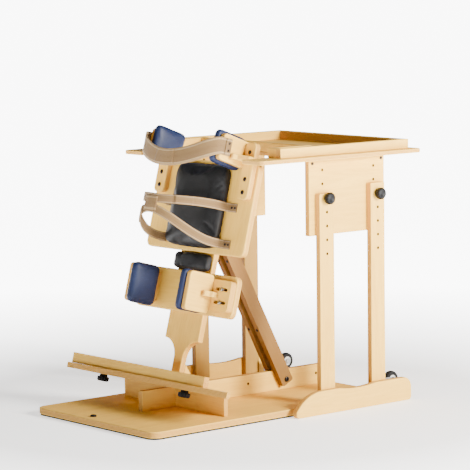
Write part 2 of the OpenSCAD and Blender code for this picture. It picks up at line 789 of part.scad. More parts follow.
// Bolts through the slots, screwed into the knee board
knee_bolt_r = 3;
knee_head_r = 6;
module knee_bolts() color(steel) leaning()
  for (side = [-1, 1], k = [-0.5, 0.5]) translate([0, side * slot_mid, slide_mid + k * slot_pitch]) {
    bar_x(knee_bolt_r, knee_slide_back - gap - over, board_back);
    bar_x(knee_head_r, knee_slide_back - gap - bolt_head_h, knee_slide_back - gap);
  }

// Straps

strap_turn = 12;
strap_steps = 22;
chest_strap_z = chest_plate_mid + chest_plate_l * sin(chest_plate_tilt);
chest_strap_y = chest_plate_out + gap + strap_t / 2;
chest_strap_x = plate_back - chest_plate_d;
chest_strap_clear = 2;
chest_strap_lap_x = plate_back - chest_gusset_d - chest_strap_clear;
chest_strap_sag = 52;
function loop(a, x, y, reach) = [x - reach * cos(a), y * sin(a)];
chest_strap_path = concat(
  [[chest_strap_lap_x, -chest_strap_y, chest_strap_z]],
  [for (i = [0 : strap_steps])
    let (a = 180 * i / strap_steps - 90, p = loop(a, chest_strap_x, chest_strap_y, chest_strap_reach))
    [p.x, p.y, chest_strap_z - chest_strap_sag * pow(cos(a), 2)]],
  [[chest_strap_lap_x, chest_strap_y, chest_strap_z]]);
module chest_strap() color(webbing) leaning() band(chest_strap_path, chest_strap_w, strap_t);

// Waist and hip straps start flat on the chest board beside the pad, then run round behind
strap_tab = 24;
strap_pad_gap = 1;
strap_y = chest_pad_w / 2 + strap_t + strap_pad_gap;
strap_face = board_back - gap - strap_t / 2;
strap_start_x = board_back - chest_pad_t;
turn_steps = 3;
function anchored(z, rise, sag) = concat(
  [[strap_face, -strap_y - strap_turn - strap_tab, z]],
  [for (i = [0 : turn_steps]) let (a = 90 * i / turn_steps)
    [strap_face - strap_turn * (1 - cos(a)), -strap_y - strap_turn + strap_turn * sin(a), z]],
  [for (i = [0 : strap_steps])
    let (a = 180 * i / strap_steps - 90, p = loop(a, strap_start_x, strap_y, hip_strap_reach))
    [p.x, p.y, z + (rise - sag) * pow(cos(a), 2)]],
  [for (i = [turn_steps : -1 : 0]) let (a = 90 * i / turn_steps)
    [strap_face - strap_turn * (1 - cos(a)), strap_y + strap_turn - strap_turn * sin(a), z]],
  [[strap_face, strap_y + strap_turn + strap_tab, z]]);
waist_sag = 14;
strap_clear = 3;
hip_rise = waist_high - waist_sag - hip_high - hip_strap_w - strap_clear;
module waist_strap() color(webbing) leaning() band(anchored(waist_high, 0, waist_sag), hip_strap_w, strap_t);
module hip_strap() color(webbing) leaning() band(anchored(hip_high, hip_rise, 0), hip_strap_w, strap_t);

// A sewn keeper on the outside of both straps at the back
keeper_steps = 6;
keeper_lap_share = 0.8;
keeper_angle = 12;
module strap_keeper() color(webbing) leaning()
  band([for (i = [0 : keeper_steps]) let (a = keeper_angle * (2 * i / keeper_steps - 1),
      p = loop(a, strap_start_x, strap_y + strap_t + gap, hip_strap_reach + strap_t + gap))
    [p.x, p.y, waist_high - waist_sag - hip_strap_w / 2 - strap_clear / 2]],
    2 * hip_strap_w * keeper_lap_share, strap_t);

// Tray

module tray_outline() difference() {
  round_rect([tray_front - tray_l, -tray_w / 2], [tray_front, tray_w / 2], tray_r);
  round_rect([tray_front - tray_l - cut_d, -cut_w / 2], [tray_front - tray_l + cut_d, cut_w / 2], tray_r);
}
module tray_board() color(wood) translate([0, 0, tray_z]) linear_extrude(tray_t) tray_outline();

// Rim strips: front, sides, rear ends and round the cut-out
rim_x0 = tray_front - tray_l + rim_rear_in;
rim_x1 = tray_front - rim_in;
rim_y = tray_w / 2 - rim_in;
cut_x = tray_front - tray_l + cut_d;
module rim_strip(low, high) translate([low.x, low.y, tray_top]) cube([high.x - low.x, high.y - low.y, rim_h]);
module right_rims() {
  rim_strip([rim_x0, -rim_y], [rim_x1, rim_t - rim_y]);
  rim_strip([rim_x0, rim_t - rim_y], [rim_x0 + rim_t, -cut_w / 2 - gap]);
  rim_strip([rim_x0 + rim_t, -cut_w / 2 - rim_t], [cut_x, -cut_w / 2 - gap]);
}
module tray_rims() color(wood) {
  right_rims();
  on_left() right_rims();
  rim_strip([rim_x1 - rim_t, rim_t - rim_y], [rim_x1, rim_y - rim_t]);
  rim_strip([cut_x, -cut_w / 2 - rim_t], [cut_x + rim_t, cut_w / 2 + rim_t]);
}

// Side panels that slide between the legs, with matching holes and screws
panel_holes_below = 2;
panel_holes_above = 2;
module right_panel() sideways(-panel_out, panel_t) difference() {
  translate([panel_x, tray_z - panel_h]) square([panel_w, panel_h]);
  for (k = [-panel_holes_below : panel_holes_above], x = [leg_x, leg_x + leg_pitch])
    translate([x + leg_w / 2, knob_z + k * hole_pitch]) circle(hole_r);
}
module tray_panels() color(wood) {
  right_panel();
  on_left() right_panel();
}

base_board();
non_slip_mat();
centre_rail();
foot_bearer();
footplate();
right_runner();
left_runner();
right_rear_leg();
right_front_leg();
left_rear_leg();
left_front_leg();
wheel_brackets();
wheel_axles();
right_tyre();
right_hub();
left_tyre();
left_hub();
spine_board();
pivot_cheeks();
tilt_pivot_bolt();
strut_hinge_block();
chest_board();
chest_pad();
thigh_pad();
knee_board();
board_bolts();
chest_brackets();
right_chest_plate();
left_chest_plate();
chest_gussets();
right_chest_pad();
left_chest_pad();
chest_bolts();
chest_strap();
waist_strap();
hip_strap();
strap_keeper();
strut_bars();
strut_spacer();
strut_pivot_bolt();
strut_foot_bolts();
knee_bolts();
right_knee_slide_plate();
right_knee_plate();
right_knee_gusset();
right_knee_pad();
left_knee_slide_plate();
left_knee_plate();
left_knee_gusset();
left_knee_pad();
tray_board();
tray_rims();
tray_panels();
right_rear_knob();
right_front_knob();
left_rear_knob();
left_front_knob();
heel_rail();
right_heel_knob();
left_heel_knob();
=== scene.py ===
"""Looks for the standing frame: lacquered plywood, vinyl pads, webbing, knobs, fasteners and wheels."""
import json
import math

import bmesh
import bpy
import numpy as np
from mathutils import Matrix, Vector


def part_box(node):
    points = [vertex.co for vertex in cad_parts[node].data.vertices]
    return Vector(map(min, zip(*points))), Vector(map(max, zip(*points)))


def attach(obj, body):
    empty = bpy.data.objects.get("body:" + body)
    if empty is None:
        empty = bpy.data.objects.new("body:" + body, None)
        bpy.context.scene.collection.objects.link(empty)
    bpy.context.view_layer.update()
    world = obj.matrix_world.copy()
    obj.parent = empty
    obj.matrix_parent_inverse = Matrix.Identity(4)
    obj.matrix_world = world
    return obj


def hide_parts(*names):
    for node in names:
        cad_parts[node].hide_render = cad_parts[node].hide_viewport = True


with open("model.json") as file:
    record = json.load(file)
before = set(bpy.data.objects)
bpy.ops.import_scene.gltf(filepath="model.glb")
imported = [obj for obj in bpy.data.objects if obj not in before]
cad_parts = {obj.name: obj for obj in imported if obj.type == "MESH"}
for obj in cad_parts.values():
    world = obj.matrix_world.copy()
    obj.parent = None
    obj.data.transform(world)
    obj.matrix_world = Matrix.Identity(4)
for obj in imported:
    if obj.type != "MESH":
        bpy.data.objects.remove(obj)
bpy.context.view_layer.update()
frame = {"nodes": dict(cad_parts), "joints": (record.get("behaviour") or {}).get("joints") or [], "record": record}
NODES = frame["nodes"]
JOINTS = {j["name"]: j for j in frame["joints"]}
BODY_OF = {n: b for b, names in frame["record"]["behaviour"]["bodies"].items() for n in names}
SLOT_OF = {s["node"]: s["material_slot"] for s in frame["record"]["subparts"]}
MM = 0.001

# Frames of the leaning spine and of the strut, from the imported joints
LEAN = math.radians(15)
PIVOT = Vector(JOINTS["spine_tilt"]["pos_m"])
HINGE = Vector(JOINTS["strut_fold"]["pos_m"])
FOOT = sum(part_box("strut_foot_bolts"), Vector()) / 2
STRUT = math.atan2(FOOT.x - HINGE.x, HINGE.z - FOOT.z)
LEANING = Matrix.Translation(PIVOT) @ Matrix.Rotation(LEAN, 4, "Y")
STRUTTING = Matrix.Translation(HINGE) @ Matrix.Rotation(-STRUT, 4, "Y")


def lean_at(x, y, z):
    """A point of the leaning frame, given in millimetres."""
    return LEANING @ Vector((x * MM, y * MM, z * MM))


# Materials


class Shader:
    """A material with a Principled surface, and short calls for the nodes that feed it."""

    def __init__(self, name, **constants):
        self.mat = bpy.data.materials.new(name)
        self.mat.use_nodes = True
        self.tree = self.mat.node_tree
        self.tree.nodes.clear()
        self.surface = self.tree.nodes.new("ShaderNodeBsdfPrincipled")
        out = self.tree.nodes.new("ShaderNodeOutputMaterial")
        self.tree.links.new(self.surface.outputs[0], out.inputs[0])
        for key, value in constants.items():
            self.surface.inputs[key.replace("_", " ")].default_value = value

    def node(self, kind, inputs=(), **settings):
        n = self.tree.nodes.new(kind)
        for key, value in settings.items():
            setattr(n, key, value)
        for key, value in dict(inputs).items():
            self.put(n.inputs[key], value)
        return n

    def put(self, socket, value):
        if isinstance(value, bpy.types.NodeSocket):
            self.tree.links.new(value, socket)
        else:
            socket.default_value = value

    def place(self):
        return self.node("ShaderNodeTexCoord").outputs["Object"]

    def normal(self):
        return self.node("ShaderNodeTexCoord").outputs["Normal"]

    def attribute(self, name):
        return self.node("ShaderNodeAttribute", attribute_name=name).outputs["Vector"]

    def mapping(self, vector, rotation=(0, 0, 0), scale=(1, 1, 1)):
        return self.node("ShaderNodeMapping", {
            "Vector": vector, "Rotation": rotation, "Scale": scale}).outputs[0]

    def offset(self, vector, amount):
        """vector plus amount, a socket, on all three axes."""
        return self.node("ShaderNodeVectorMath", {0: vector, 1: amount}, operation="ADD").outputs[0]

    def noise(self, vector, scale, detail=2.0, roughness=0.5, distortion=0.0):
        return self.node("ShaderNodeTexNoise", {
            "Vector": vector, "Scale": scale, "Detail": detail, "Roughness": roughness,
            "Distortion": distortion}).outputs["Fac"]

    def cells(self, vector, scale):
        """Distance to the nearest edge between Voronoi cells."""
        return self.node("ShaderNodeTexVoronoi", {"Vector": vector, "Scale": scale},
                         feature="DISTANCE_TO_EDGE").outputs["Distance"]

    def math(self, operation, a, b=0.0, c=0.0):
        return self.node("ShaderNodeMath", {0: a, 1: b, 2: c}, operation=operation).outputs[0]

    def span(self, value, low, high, to_low=0.0, to_high=1.0):
        """value carried from one range to another, and held at its ends."""
        return self.node("ShaderNodeMapRange", {
            "Value": value, "From Min": low, "From Max": high, "To Min": to_low, "To Max": to_high},
            clamp=True).outputs[0]

    def axis(self, vector, index):
        return self.node("ShaderNodeSeparateXYZ", {0: vector}).outputs[index]

    def mix(self, share, a, b):
        """Two colours mixed. A Mix node has them at sockets 6 and 7, and the result at 2."""
        n = self.node("ShaderNodeMix", {"Factor": share}, data_type="RGBA")
        self.put(n.inputs[6], a)
        self.put(n.inputs[7], b)
        return n.outputs[2]

    def bump(self, height, strength, distance, under=None):
        n = self.node("ShaderNodeBump", {"Height": height, "Strength": strength, "Distance": distance})
        if under is not None:
            self.put(n.inputs["Normal"], under)
        return n.outputs[0]

    def set(self, **inputs):
        for key, value in inputs.items():
            self.put(self.surface.inputs[key.replace("_", " ")], value)
        return self.mat


def rgb(r, g, b):
    return (r, g, b, 1.0)


# Lacquered birch: face veneer, its figure, the two tones of its plies, the rubbed edge, and a dark brown of
# painted shade for pieces that lie in shade
VENEER_PALE = rgb(0.80, 0.490, 0.084)
VENEER_DEEP = rgb(0.63, 0.335, 0.050)
FIGURE = rgb(0.38, 0.165, 0.032)
PLY_PALE = rgb(0.66, 0.365, 0.078)
PLY_DARK = rgb(0.34, 0.155, 0.034)
RUBBED = rgb(0.81, 0.510, 0.105)
WOOD_PAINTED_SHADE = rgb(0.10, 0.036, 0.011)
PLY_PITCH = 1.64 * MM
# Scale of the patterns in wood, across the grain and along it, and of the specks in its edges and ends
FIGURE_GRAIN, FIBRE_GRAIN, PORE_GRAIN = (9, 0.9), (420, 9), (900, 40)
EDGE_SPECK, END_SPECK = [260] * 3, [420] * 3
RINGS = 52
# How far the patterns shift from one piece to the next, and what keeps the count of plies above nought
PIECE_SHIFT, PLY_START = (3.1, 7.7, 5.3), 10.0


def wood(name, turn, normal, along, ply, rubbed, deep):
    """Birch, its grain along one axis of a frame turned about Y. deep is the share of painted shade mixed in."""
    s = Shader(name, Coat_Weight=0.05, Coat_Roughness=0.35, Specular_IOR_Level=0.14)
    local = s.mapping(s.place(), rotation=(0, -turn, 0))
    each = s.node("ShaderNodeObjectInfo").outputs["Random"]
    shift = {i: s.math("MULTIPLY", each, far) for i, far in enumerate(PIECE_SHIFT)}
    shifted = s.offset(local, s.node("ShaderNodeCombineXYZ", shift).outputs[0])

    def grain(across, lengthwise):
        return s.mapping(shifted, scale=[lengthwise if i == along else across for i in range(3)])

    figure = s.noise(grain(*FIGURE_GRAIN), 2.2, 4, 0.55, 0.9)
    rings = s.math("SINE", s.math("MULTIPLY", figure, RINGS))
    fibre = s.noise(grain(*FIBRE_GRAIN), 1.0, 3, 0.6)
    pores = s.noise(grain(*PORE_GRAIN), 1.0, 1)
    cloud = s.noise(shifted, 5.5, 2)
    share = s.math("MULTIPLY_ADD", rings, 0.13, s.span(figure, 0.25, 0.8, 0.05, 0.55))
    share = s.math("MULTIPLY_ADD", fibre, 0.35, s.math("SUBTRACT", share, 0.17))
    share = s.math("ADD", share, s.math("MULTIPLY_ADD", each, 0.16, -0.08))
    face = s.mix(share, VENEER_PALE, VENEER_DEEP)
    face = s.mix(s.span(pores, 0.62, 0.8, 0, 0.35), face, FIGURE)
    face = s.mix(s.span(cloud, 0.35, 0.75, 0, 0.16), face, FIGURE)
    turned = s.mapping(s.normal(), rotation=(0, -turn, 0))
    if ply:
        edge = s.span(s.math("ABSOLUTE", s.axis(turned, normal)), 0.55, 0.8, 1.0, 0.0)
        layer = s.math("DIVIDE", s.math("ADD", s.axis(local, normal), PLY_START), PLY_PITCH)
        swap = s.math("PINGPONG", layer, 1.0)
        plies = s.mix(s.span(swap, 0.32, 0.68), PLY_PALE, PLY_DARK)
        speck = s.noise(s.mapping(shifted, scale=EDGE_SPECK), 1.0, 2)
        plies = s.mix(s.span(speck, 0.3, 0.75, 0, 0.55), plies, VENEER_DEEP)
        colour = s.mix(edge, face, plies)
        rise = s.math("MULTIPLY", s.math("MULTIPLY", swap, 0.6), edge)
    else:
        edge = s.span(s.math("ABSOLUTE", s.axis(turned, along)), 0.6, 0.85)
        speck = s.noise(s.mapping(shifted, scale=END_SPECK), 1.0, 2)
        ends = s.mix(s.span(speck, 0.3, 0.7), PLY_PALE, FIGURE)
        colour = s.mix(edge, face, ends)
        rise = s.math("MULTIPLY", speck, s.math("MULTIPLY", edge, 0.5))
    if rubbed:
        colour = s.mix(s.span(s.noise(shifted, 60, 3), 0.25, 0.75, 0.25, 0.7), colour, RUBBED)
    # Painted shade: deep mixes the tone towards a dark brown for a piece that lies in shade
    colour = s.mix(deep, colour, WOOD_PAINTED_SHADE)
    height = s.math("MULTIPLY_ADD", fibre, 0.5, s.math("ADD", rise, s.math("MULTIPLY", rings, 0.1)))
    rough = s.math("MULTIPLY_ADD", fibre, 0.16, 0.52 if rubbed else 0.42)
    rough = s.math("MULTIPLY_ADD", cloud, 0.12, rough)
    return s.set(Base_Color=colour, Roughness=rough, Normal=s.bump(height, 0.22, 0.4 * MM))


def vinyl(name, colour, worn, grain):
    """Upholstery vinyl: pebbled grain with painted shade in its gaps, creases whose ridges are paler with dust and
    painted sheen, and paler rubbed places.
    """
    s = Shader(name, Specular_IOR_Level=0.22)
    place = s.place()
    warped = s.offset(place, s.math("MULTIPLY", s.noise(place, 300, 2), 1.2 * MM))
    pebbles = s.span(s.cells(warped, grain), 0.0, 0.22)
    fine = s.noise(place, 1400, 2)
    wide = s.noise(place, 9, 3, 0.6, 0.4)
    creases = s.noise(s.mapping(place, scale=(1, 1, 2.4)), 38, 4, 0.6, 0.7)
    tone = s.mix(s.span(wide, 0.4, 0.75, 0, 0.5), colour, worn)
    # The crease ridges turn paler: part dust, part painted sheen
    tone = s.mix(s.span(creases, 0.56, 0.72, 0, 0.28), tone, worn)
    # Painted shade: the gaps between pebbles are darkened to a third of the colour
    tone = s.mix(s.span(pebbles, 0.0, 0.6, 0.35, 0.0), tone, [c * 0.35 for c in colour[:3]] + [1])
    rough = s.math("MULTIPLY_ADD", wide, 0.22, s.math("MULTIPLY_ADD", fine, 0.12, 0.30))
    low = s.bump(creases, 0.30, 1.2 * MM)
    return s.set(Base_Color=tone, Roughness=rough,
                 Normal=s.bump(s.math("MULTIPLY_ADD", fine, 0.25, pebbles), 0.35, 0.25 * MM, low))


# Webbing: the pitch of its ribs, yarn and stitches, and its tones
RIB_PITCH, YARN_PITCH, STITCH_PITCH, TWILL = 2.2 * MM, 1.5 * MM, 3.0 * MM, 0.6
WEB_LOW, WEB_HIGH = rgb(0.118, 0.066, 0.025), rgb(0.29, 0.180, 0.077)
WEB_SELVEDGE, WEB_MIDDLE = rgb(0.36, 0.24, 0.115), rgb(0.108, 0.060, 0.023)
WEB_FUZZ, WEB_SOILED, THREAD = rgb(0.32, 0.212, 0.102), rgb(0.145, 0.084, 0.034), rgb(0.48, 0.355, 0.20)


def webbing(name):
    """Tan webbing: ribs across, a twill in the yarn, paler selvedges and a row of stitching along each."""
    s = Shader(name, Specular_IOR_Level=0.15, Sheen_Weight=0.08, Sheen_Roughness=0.45)
    run = s.attribute("run")
    along, across, edge = (s.axis(run, i) for i in range(3))
    rib = s.math("SINE", s.math("MULTIPLY", along, 2 * math.pi / RIB_PITCH))
    slant = s.math("ADD", across, s.math("MULTIPLY", along, TWILL))
    yarn = s.math("SINE", s.math("MULTIPLY", slant, 2 * math.pi / YARN_PITCH))
    weave = s.math("MULTIPLY", s.math("MULTIPLY_ADD", rib, 0.5, 0.5),
                   s.math("MULTIPLY_ADD", yarn, 0.5, 0.5))
    fuzz = s.noise(s.place(), 900, 3, 0.7)
    wide = s.noise(s.place(), 14, 3)
    tone = s.mix(weave, WEB_LOW, WEB_HIGH)
    tone = s.mix(s.span(edge, 0.70, 0.80, 0, 0.55), tone, WEB_SELVEDGE)
    tone = s.mix(s.span(edge, 0.05, 0.34, 0.35, 0), tone, WEB_MIDDLE)
    tone = s.mix(s.span(fuzz, 0.4, 0.75, 0, 0.3), tone, WEB_FUZZ)
    tone = s.mix(s.span(wide, 0.42, 0.7, 0, 0.3), tone, WEB_SOILED)
    dash = s.span(s.math("PINGPONG", along, STITCH_PITCH), 0.7 * MM, 1.0 * MM)
    line = s.span(s.math("ABSOLUTE", s.math("SUBTRACT", edge, 0.74)), 0.02, 0.045, 1, 0)
    stitch = s.math("MULTIPLY", dash, line)
    tone = s.mix(s.math("MULTIPLY", stitch, 0.8), tone, THREAD)
    height = s.math("ADD", s.math("MULTIPLY_ADD", fuzz, 0.25, weave), s.math("MULTIPLY", stitch, 0.8))
    return s.set(Base_Color=tone, Roughness=s.span(fuzz, 0.3, 0.7, 0.72, 0.9),
                 Normal=s.bump(height, 0.5, 0.5 * MM))


def plastic(name, colour, worn, low=0.34):
    """Moulded plastic: fine spark texture, faint scuffs and a dusty tone on it."""
    s = Shader(name, Specular_IOR_Level=0.14)
    place = s.place()
    spark = s.noise(place, 1600, 2)
    scuff = s.noise(s.mapping(place, scale=(30, 220, 90)), 1.0, 3, 0.6)
    dust = s.noise(place, 28, 3)
    tone = s.mix(s.span(dust, 0.45, 0.8, 0, 0.4), colour, worn)
    tone = s.mix(s.span(scuff, 0.62, 0.75, 0, 0.3), tone, worn)
    return s.set(Base_Color=tone, Roughness=s.math("MULTIPLY_ADD", scuff, 0.2, low),
                 Normal=s.bump(spark, 0.18, 0.2 * MM))


# Scale of the brushed lines of steel on X, Y and Z
BRUSHED = (1500, 60, 1500)


def metal(name, colour):
    """Plated steel: brushed lines along Y and dull blooms."""
    s = Shader(name, Metallic=1.0)
    place = s.place()
    brush = s.noise(s.mapping(place, scale=BRUSHED), 1.0, 2)
    bloom = s.noise(place, 90, 4, 0.65)
    tone = s.mix(s.span(bloom, 0.4, 0.75, 0, 0.55), colour, [c * 0.55 for c in colour[:3]] + [1])
    rough = s.math("MULTIPLY_ADD", bloom, 0.2, s.math("MULTIPLY_ADD", brush, 0.15, 0.16))
    return s.set(Base_Color=tone, Roughness=rough, Normal=s.bump(brush, 0.12, 0.1 * MM))


RUBBER, DUST = rgb(0.006, 0.006, 0.0065), rgb(0.022, 0.0205, 0.019)


def rubber(name, ribs):
    """Black rubber: ribs along X, ribs millimetres apart, a dusty bloom and a fine grain."""
    s = Shader(name, Specular_IOR_Level=0.2)
    place = s.place()
    rib = s.math("SINE", s.math("MULTIPLY", s.axis(place, 0), 2 * math.pi / (ribs * MM)))
    dust = s.noise(place, 22, 4, 0.6)
    fine = s.noise(place, 1200, 2)
    tone = s.mix(s.span(dust, 0.4, 0.8, 0, 0.5), RUBBER, DUST)
    return s.set(Base_Color=tone, Roughness=s.span(dust, 0.3, 0.8, 0.62, 0.85),
                 Normal=s.bump(s.math("MULTIPLY_ADD", fine, 0.4, rib), 0.4, 0.5 * MM))


# Painted shade inside drilled holes: their walls are near black
BORE_DARK, BORE_PALE = rgb(0.030, 0.012, 0.004), rgb(0.075, 0.032, 0.010)


def shaded_wood(name):
    """The wall of a drilled hole: painted shade, near black with fine specks."""
    s = Shader(name, Specular_IOR_Level=0.05, Roughness=0.9)
    speck = s.noise(s.place(), 500, 2)
    return s.set(Base_Color=s.mix(speck, BORE_DARK, BORE_PALE))


WOODS = {}


def wood_pair(turn, normal, along, ply=True, deep=0.0):
    """The face material and the rubbed-edge material of one cut of wood, made once."""
    key = (round(turn, 4), normal, along, ply, deep)
    if key not in WOODS:
        tag = f"wood_{len(WOODS):02d}"
        WOODS[key] = (wood(tag, turn, normal, along, ply, False, deep),
                      wood(tag + "_edge", turn, normal, along, ply, True, deep))
    return WOODS[key]


BLACK_VINYL = vinyl("black_vinyl", rgb(0.006, 0.006, 0.0065), rgb(0.016, 0.0155, 0.0165), 620)
BLUE_VINYL = vinyl("blue_vinyl", rgb(0.0065, 0.0125, 0.045), rgb(0.020, 0.032, 0.086), 560)
WEBBING = webbing("tan_webbing")
BLACK_PLASTIC = plastic("black_plastic", rgb(0.0035, 0.0035, 0.004), rgb(0.010, 0.0097, 0.0095))
WHITE_PLASTIC = plastic("white_plastic", rgb(0.62, 0.61, 0.58), rgb(0.38, 0.36, 0.33), 0.4)
STEEL = metal("zinc_steel", rgb(0.36, 0.355, 0.345))
DARK_STEEL = metal("dark_steel", rgb(0.045, 0.036, 0.030))
BORE = shaded_wood("bore_wood")
MAT = rubber("mat_rubber", 4.0)
TYRE = rubber("tyre_rubber", 400.0)

# Geometry helpers

# Points closer than WELD become one, and a length below TINY counts as nought
WELD, TINY = 2e-6, 1e-7


def new_object(name, bm, *materials):
    mesh = bpy.data.meshes.new(name)
    bm.to_mesh(mesh)
    bm.free()
    ob = bpy.data.objects.new(name, mesh)
    bpy.context.scene.collection.objects.link(ob)
    for m in materials:
        mesh.materials.append(m)
    return ob


def finish_piece(ob, body, slot, *nodes):
    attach(ob, body)
    if nodes:
        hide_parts(*nodes)


def stand_in(ob, node):
    """Finishes a piece that takes the place of one node."""
    finish_piece(ob, BODY_OF[node], SLOT_OF[node], node)


def node_bmesh(node):
    """The node's shape with its seams welded. A face that is there twice is left out."""
    src = NODES[node].data
    bm = bmesh.new()
    verts = [bm.verts.new(v.co) for v in src.vertices]
    for p in src.polygons:
        try:
            bm.faces.new([verts[i] for i in p.vertices])
        except ValueError:
            pass
    bmesh.ops.remove_doubles(bm, verts=bm.verts, dist=WELD)
    bmesh.ops.recalc_face_normals(bm, faces=bm.faces)
    return bm


# Edges that turn less than FLAT are taken away, and those that turn more than SHARP are rounded
FLAT, SHARP = math.radians(0.5), math.radians(40)
BORED = ("centre_rail", "right_rear_leg", "right_front_leg", "left_rear_leg", "left_front_leg",
         "tray_panels")


def round_edges(bm, width, segments=3, bored=False):
    """Makes flat faces whole and rounds sharp edges, as material 1. Walls of drilled holes stay, as 2."""
    bmesh.ops.dissolve_limit(bm, angle_limit=FLAT, verts=bm.verts, edges=bm.edges)
    inner = [e for e in bm.edges if len(e.link_faces) == 2]
    walls = set()
    if bored:
        hollow = [e for e in inner if not e.is_convex and FLAT < e.calc_face_angle(0) < SHARP]
        walls = {f for e in hollow for f in e.link_faces}
    for f in walls:
        f.material_index = 2
    sharp = [e for e in inner if e.calc_face_angle(0) > SHARP and not walls.intersection(e.link_faces)]
    bmesh.ops.bevel(bm, geom=sharp, offset=width, offset_type="OFFSET", segments=segments, profile=0.5,
                    affect="EDGES", clamp_overlap=True, material=1, loop_slide=True)
    for f in bm.faces:
        f.smooth = True


def weigh_normals(ob):
    m = ob.modifiers.new("flat_faces", "WEIGHTED_NORMAL")
    m.mode = "FACE_AREA"
    m.weight = 100
    m.keep_sharp = True


def board(node, turn, normal, along, width, ply=True, deep=0.0):
    """A wooden piece: the CAD shape with its edges eased and its own cut of wood."""
    bored = node in BORED
    bm = node_bmesh(node)
    round_edges(bm, width * MM, bored=bored)
    ob = new_object(node + "_wood", bm, *wood_pair(turn, normal, along, ply, deep), *[BORE] * bored)
    weigh_normals(ob)
    stand_in(ob, node)


def lathe(bm, profile, place, sides, wave=None, material=0):
    """Turns (radius, height) pairs about the Z of a place. wave(angle, height) scales the radius there."""
    rings = []
    for r, z in profile:
        if r < TINY:
            rings.append([bm.verts.new((0, 0, z))])
            continue
        ring = []
        for i in range(sides):
            a = 2 * math.pi * i / sides
            k = r * (wave(a, z) if wave else 1)
            ring.append(bm.verts.new((k * math.cos(a), k * math.sin(a), z)))
        rings.append(ring)
    made = [v for ring in rings for v in ring]
    for low, high in zip(rings, rings[1:]):
        for i in range(sides):
            j = (i + 1) % sides
            if len(low) == 1 and len(high) > 1:
                f = bm.faces.new((low[0], high[j], high[i]))
            elif len(high) == 1 and len(low) > 1:
                f = bm.faces.new((low[i], low[j], high[0]))
            elif len(low) > 1:
                f = bm.faces.new((low[i], low[j], high[j], high[i]))
            else:
                continue
            f.smooth = True
            f.material_index = material
    bmesh.ops.transform(bm, matrix=place, verts=made)


def arc(cx, cz, r, start, end, steps):
    """Points on an arc of a profile, angles in degrees."""
    turns = [math.radians(start + (end - start) * i / steps) for i in range(steps + 1)]
    return [(cx + r * math.cos(a), cz + r * math.sin(a)) for a in turns]


def ring(r, sides, z=0.0):
    """Points evenly round a circle about Z."""
    turns = [2 * math.pi * i / sides for i in range(sides)]
    return [Vector((r * math.cos(a), r * math.sin(a), z)) for a in turns]


# Sides of a hexagon, of a head and of a washer. Shares of a head: its socket's mouth, the socket itself
# and its depth, the dome, and what the foot draws in
HEX, HEAD_SIDES, WASHER_SIDES = 6, 36, 40
MOUTH, SOCKET, SOCKET_DEEP, DOME, DRAWN_IN = 0.51, 0.43, 0.7, 0.6, 0.98
# Shares of a cap nut: half its height, and the radius of its cap
NUT_HALF, CAP = 0.5, 0.72


def hex_socket(bm, place, r, depth):
    """A hexagon recess that sits in the top of a head, as material 1, which its callers make black: painted shade
    in the recess.
    """
    top = [bm.verts.new(place @ v) for v in ring(r, HEX)]
    low = [bm.verts.new(place @ v) for v in ring(r * DRAWN_IN, HEX, -depth)]
    for i in range(HEX):
        j = (i + 1) % HEX
        bm.faces.new((top[i], top[j], low[j], low[i])).material_index = 1
    bm.faces.new(low).material_index = 1


def button_head(bm, place, r, h):
    """A domed bolt head with a hexagon socket, standing on its seat along local Z."""
    mouth, socket, fan = r * MOUTH, r * SOCKET, HEAD_SIDES // HEX
    dome = arc(r - h * DOME, h * (1 - DOME), h * DOME, 0, 90, 5)
    lathe(bm, [(r * DRAWN_IN, 0), (r, h * 0.12)] + dome + [(mouth, h)], place, HEAD_SIDES)
    rim = [bm.verts.new(place @ v) for v in ring(mouth, HEAD_SIDES, h)]
    hexagon = [bm.verts.new(place @ v) for v in ring(socket, HEX, h)]
    for i in range(HEX):
        j = (i + 1) % HEX
        for k in range(fan):
            a, b = fan * i + k, (fan * i + k + 1) % HEAD_SIDES
            bm.faces.new((rim[a], rim[b], hexagon[i if k < fan // 2 else j]))
        bm.faces.new((rim[fan * i + fan // 2], hexagon[j], hexagon[i]))
    hex_socket(bm, place @ Matrix.Translation((0, 0, h)), socket, h * SOCKET_DEEP)


def cap_nut(bm, place, r, h):
    """A hexagon nut with a domed cap."""
    sixth, half, cap = 2 * math.pi / HEX, h * NUT_HALF, r * CAP

    def six(a, z):
        flat = math.cos(sixth / 2) / math.cos((a + sixth / 2) % sixth - sixth / 2)
        return flat if z < half else 1.0

    dome = arc(0, half, cap, 8, 90, 6)[:-1] + [(0, half + cap)]
    lathe(bm, [(0, 0), (r, 0), (r, h * 0.42), (r * 0.93, h * 0.49)], place, HEAD_SIDES, six)
    lathe(bm, [(r * 0.92, h * 0.48), (r * 0.74, h * 0.52)] + dome, place, HEAD_SIDES)


def washer(bm, place, r, hole, t):
    rim = [(r * 0.97, 0), (r, t * 0.3), (r * 0.97, t)]
    lathe(bm, [(hole, 0), *rim, (hole, t), (hole, 0)], place, WASHER_SIDES)


def along_y(x, y, z, side):
    """A place on a face that looks along Y: side -1 looks right, +1 looks left."""
    return Matrix.Translation((x, y, z)) @ Matrix.Rotation(-side * math.pi / 2, 4, "X")


def backwards(x, y, z, turn=-math.pi / 2):
    """A place in the leaning frame, given in millimetres, that looks back along it."""
    return LEANING @ Matrix.Translation((x * MM, y * MM, z * MM)) @ Matrix.Rotation(turn, 4, "Y")


def forwards(x, y, z):
    """A place in the leaning frame, given in millimetres, that looks forward along it."""
    return backwards(x, y, z, math.pi / 2)


def looking(place, direction):
    """A frame at a place whose Z axis looks along a direction."""
    return Matrix.Translation(place) @ Vector(direction).to_track_quat("Z", "Y").to_matrix().to_4x4()


# Camera, floor and light, from the view fitted to the photograph

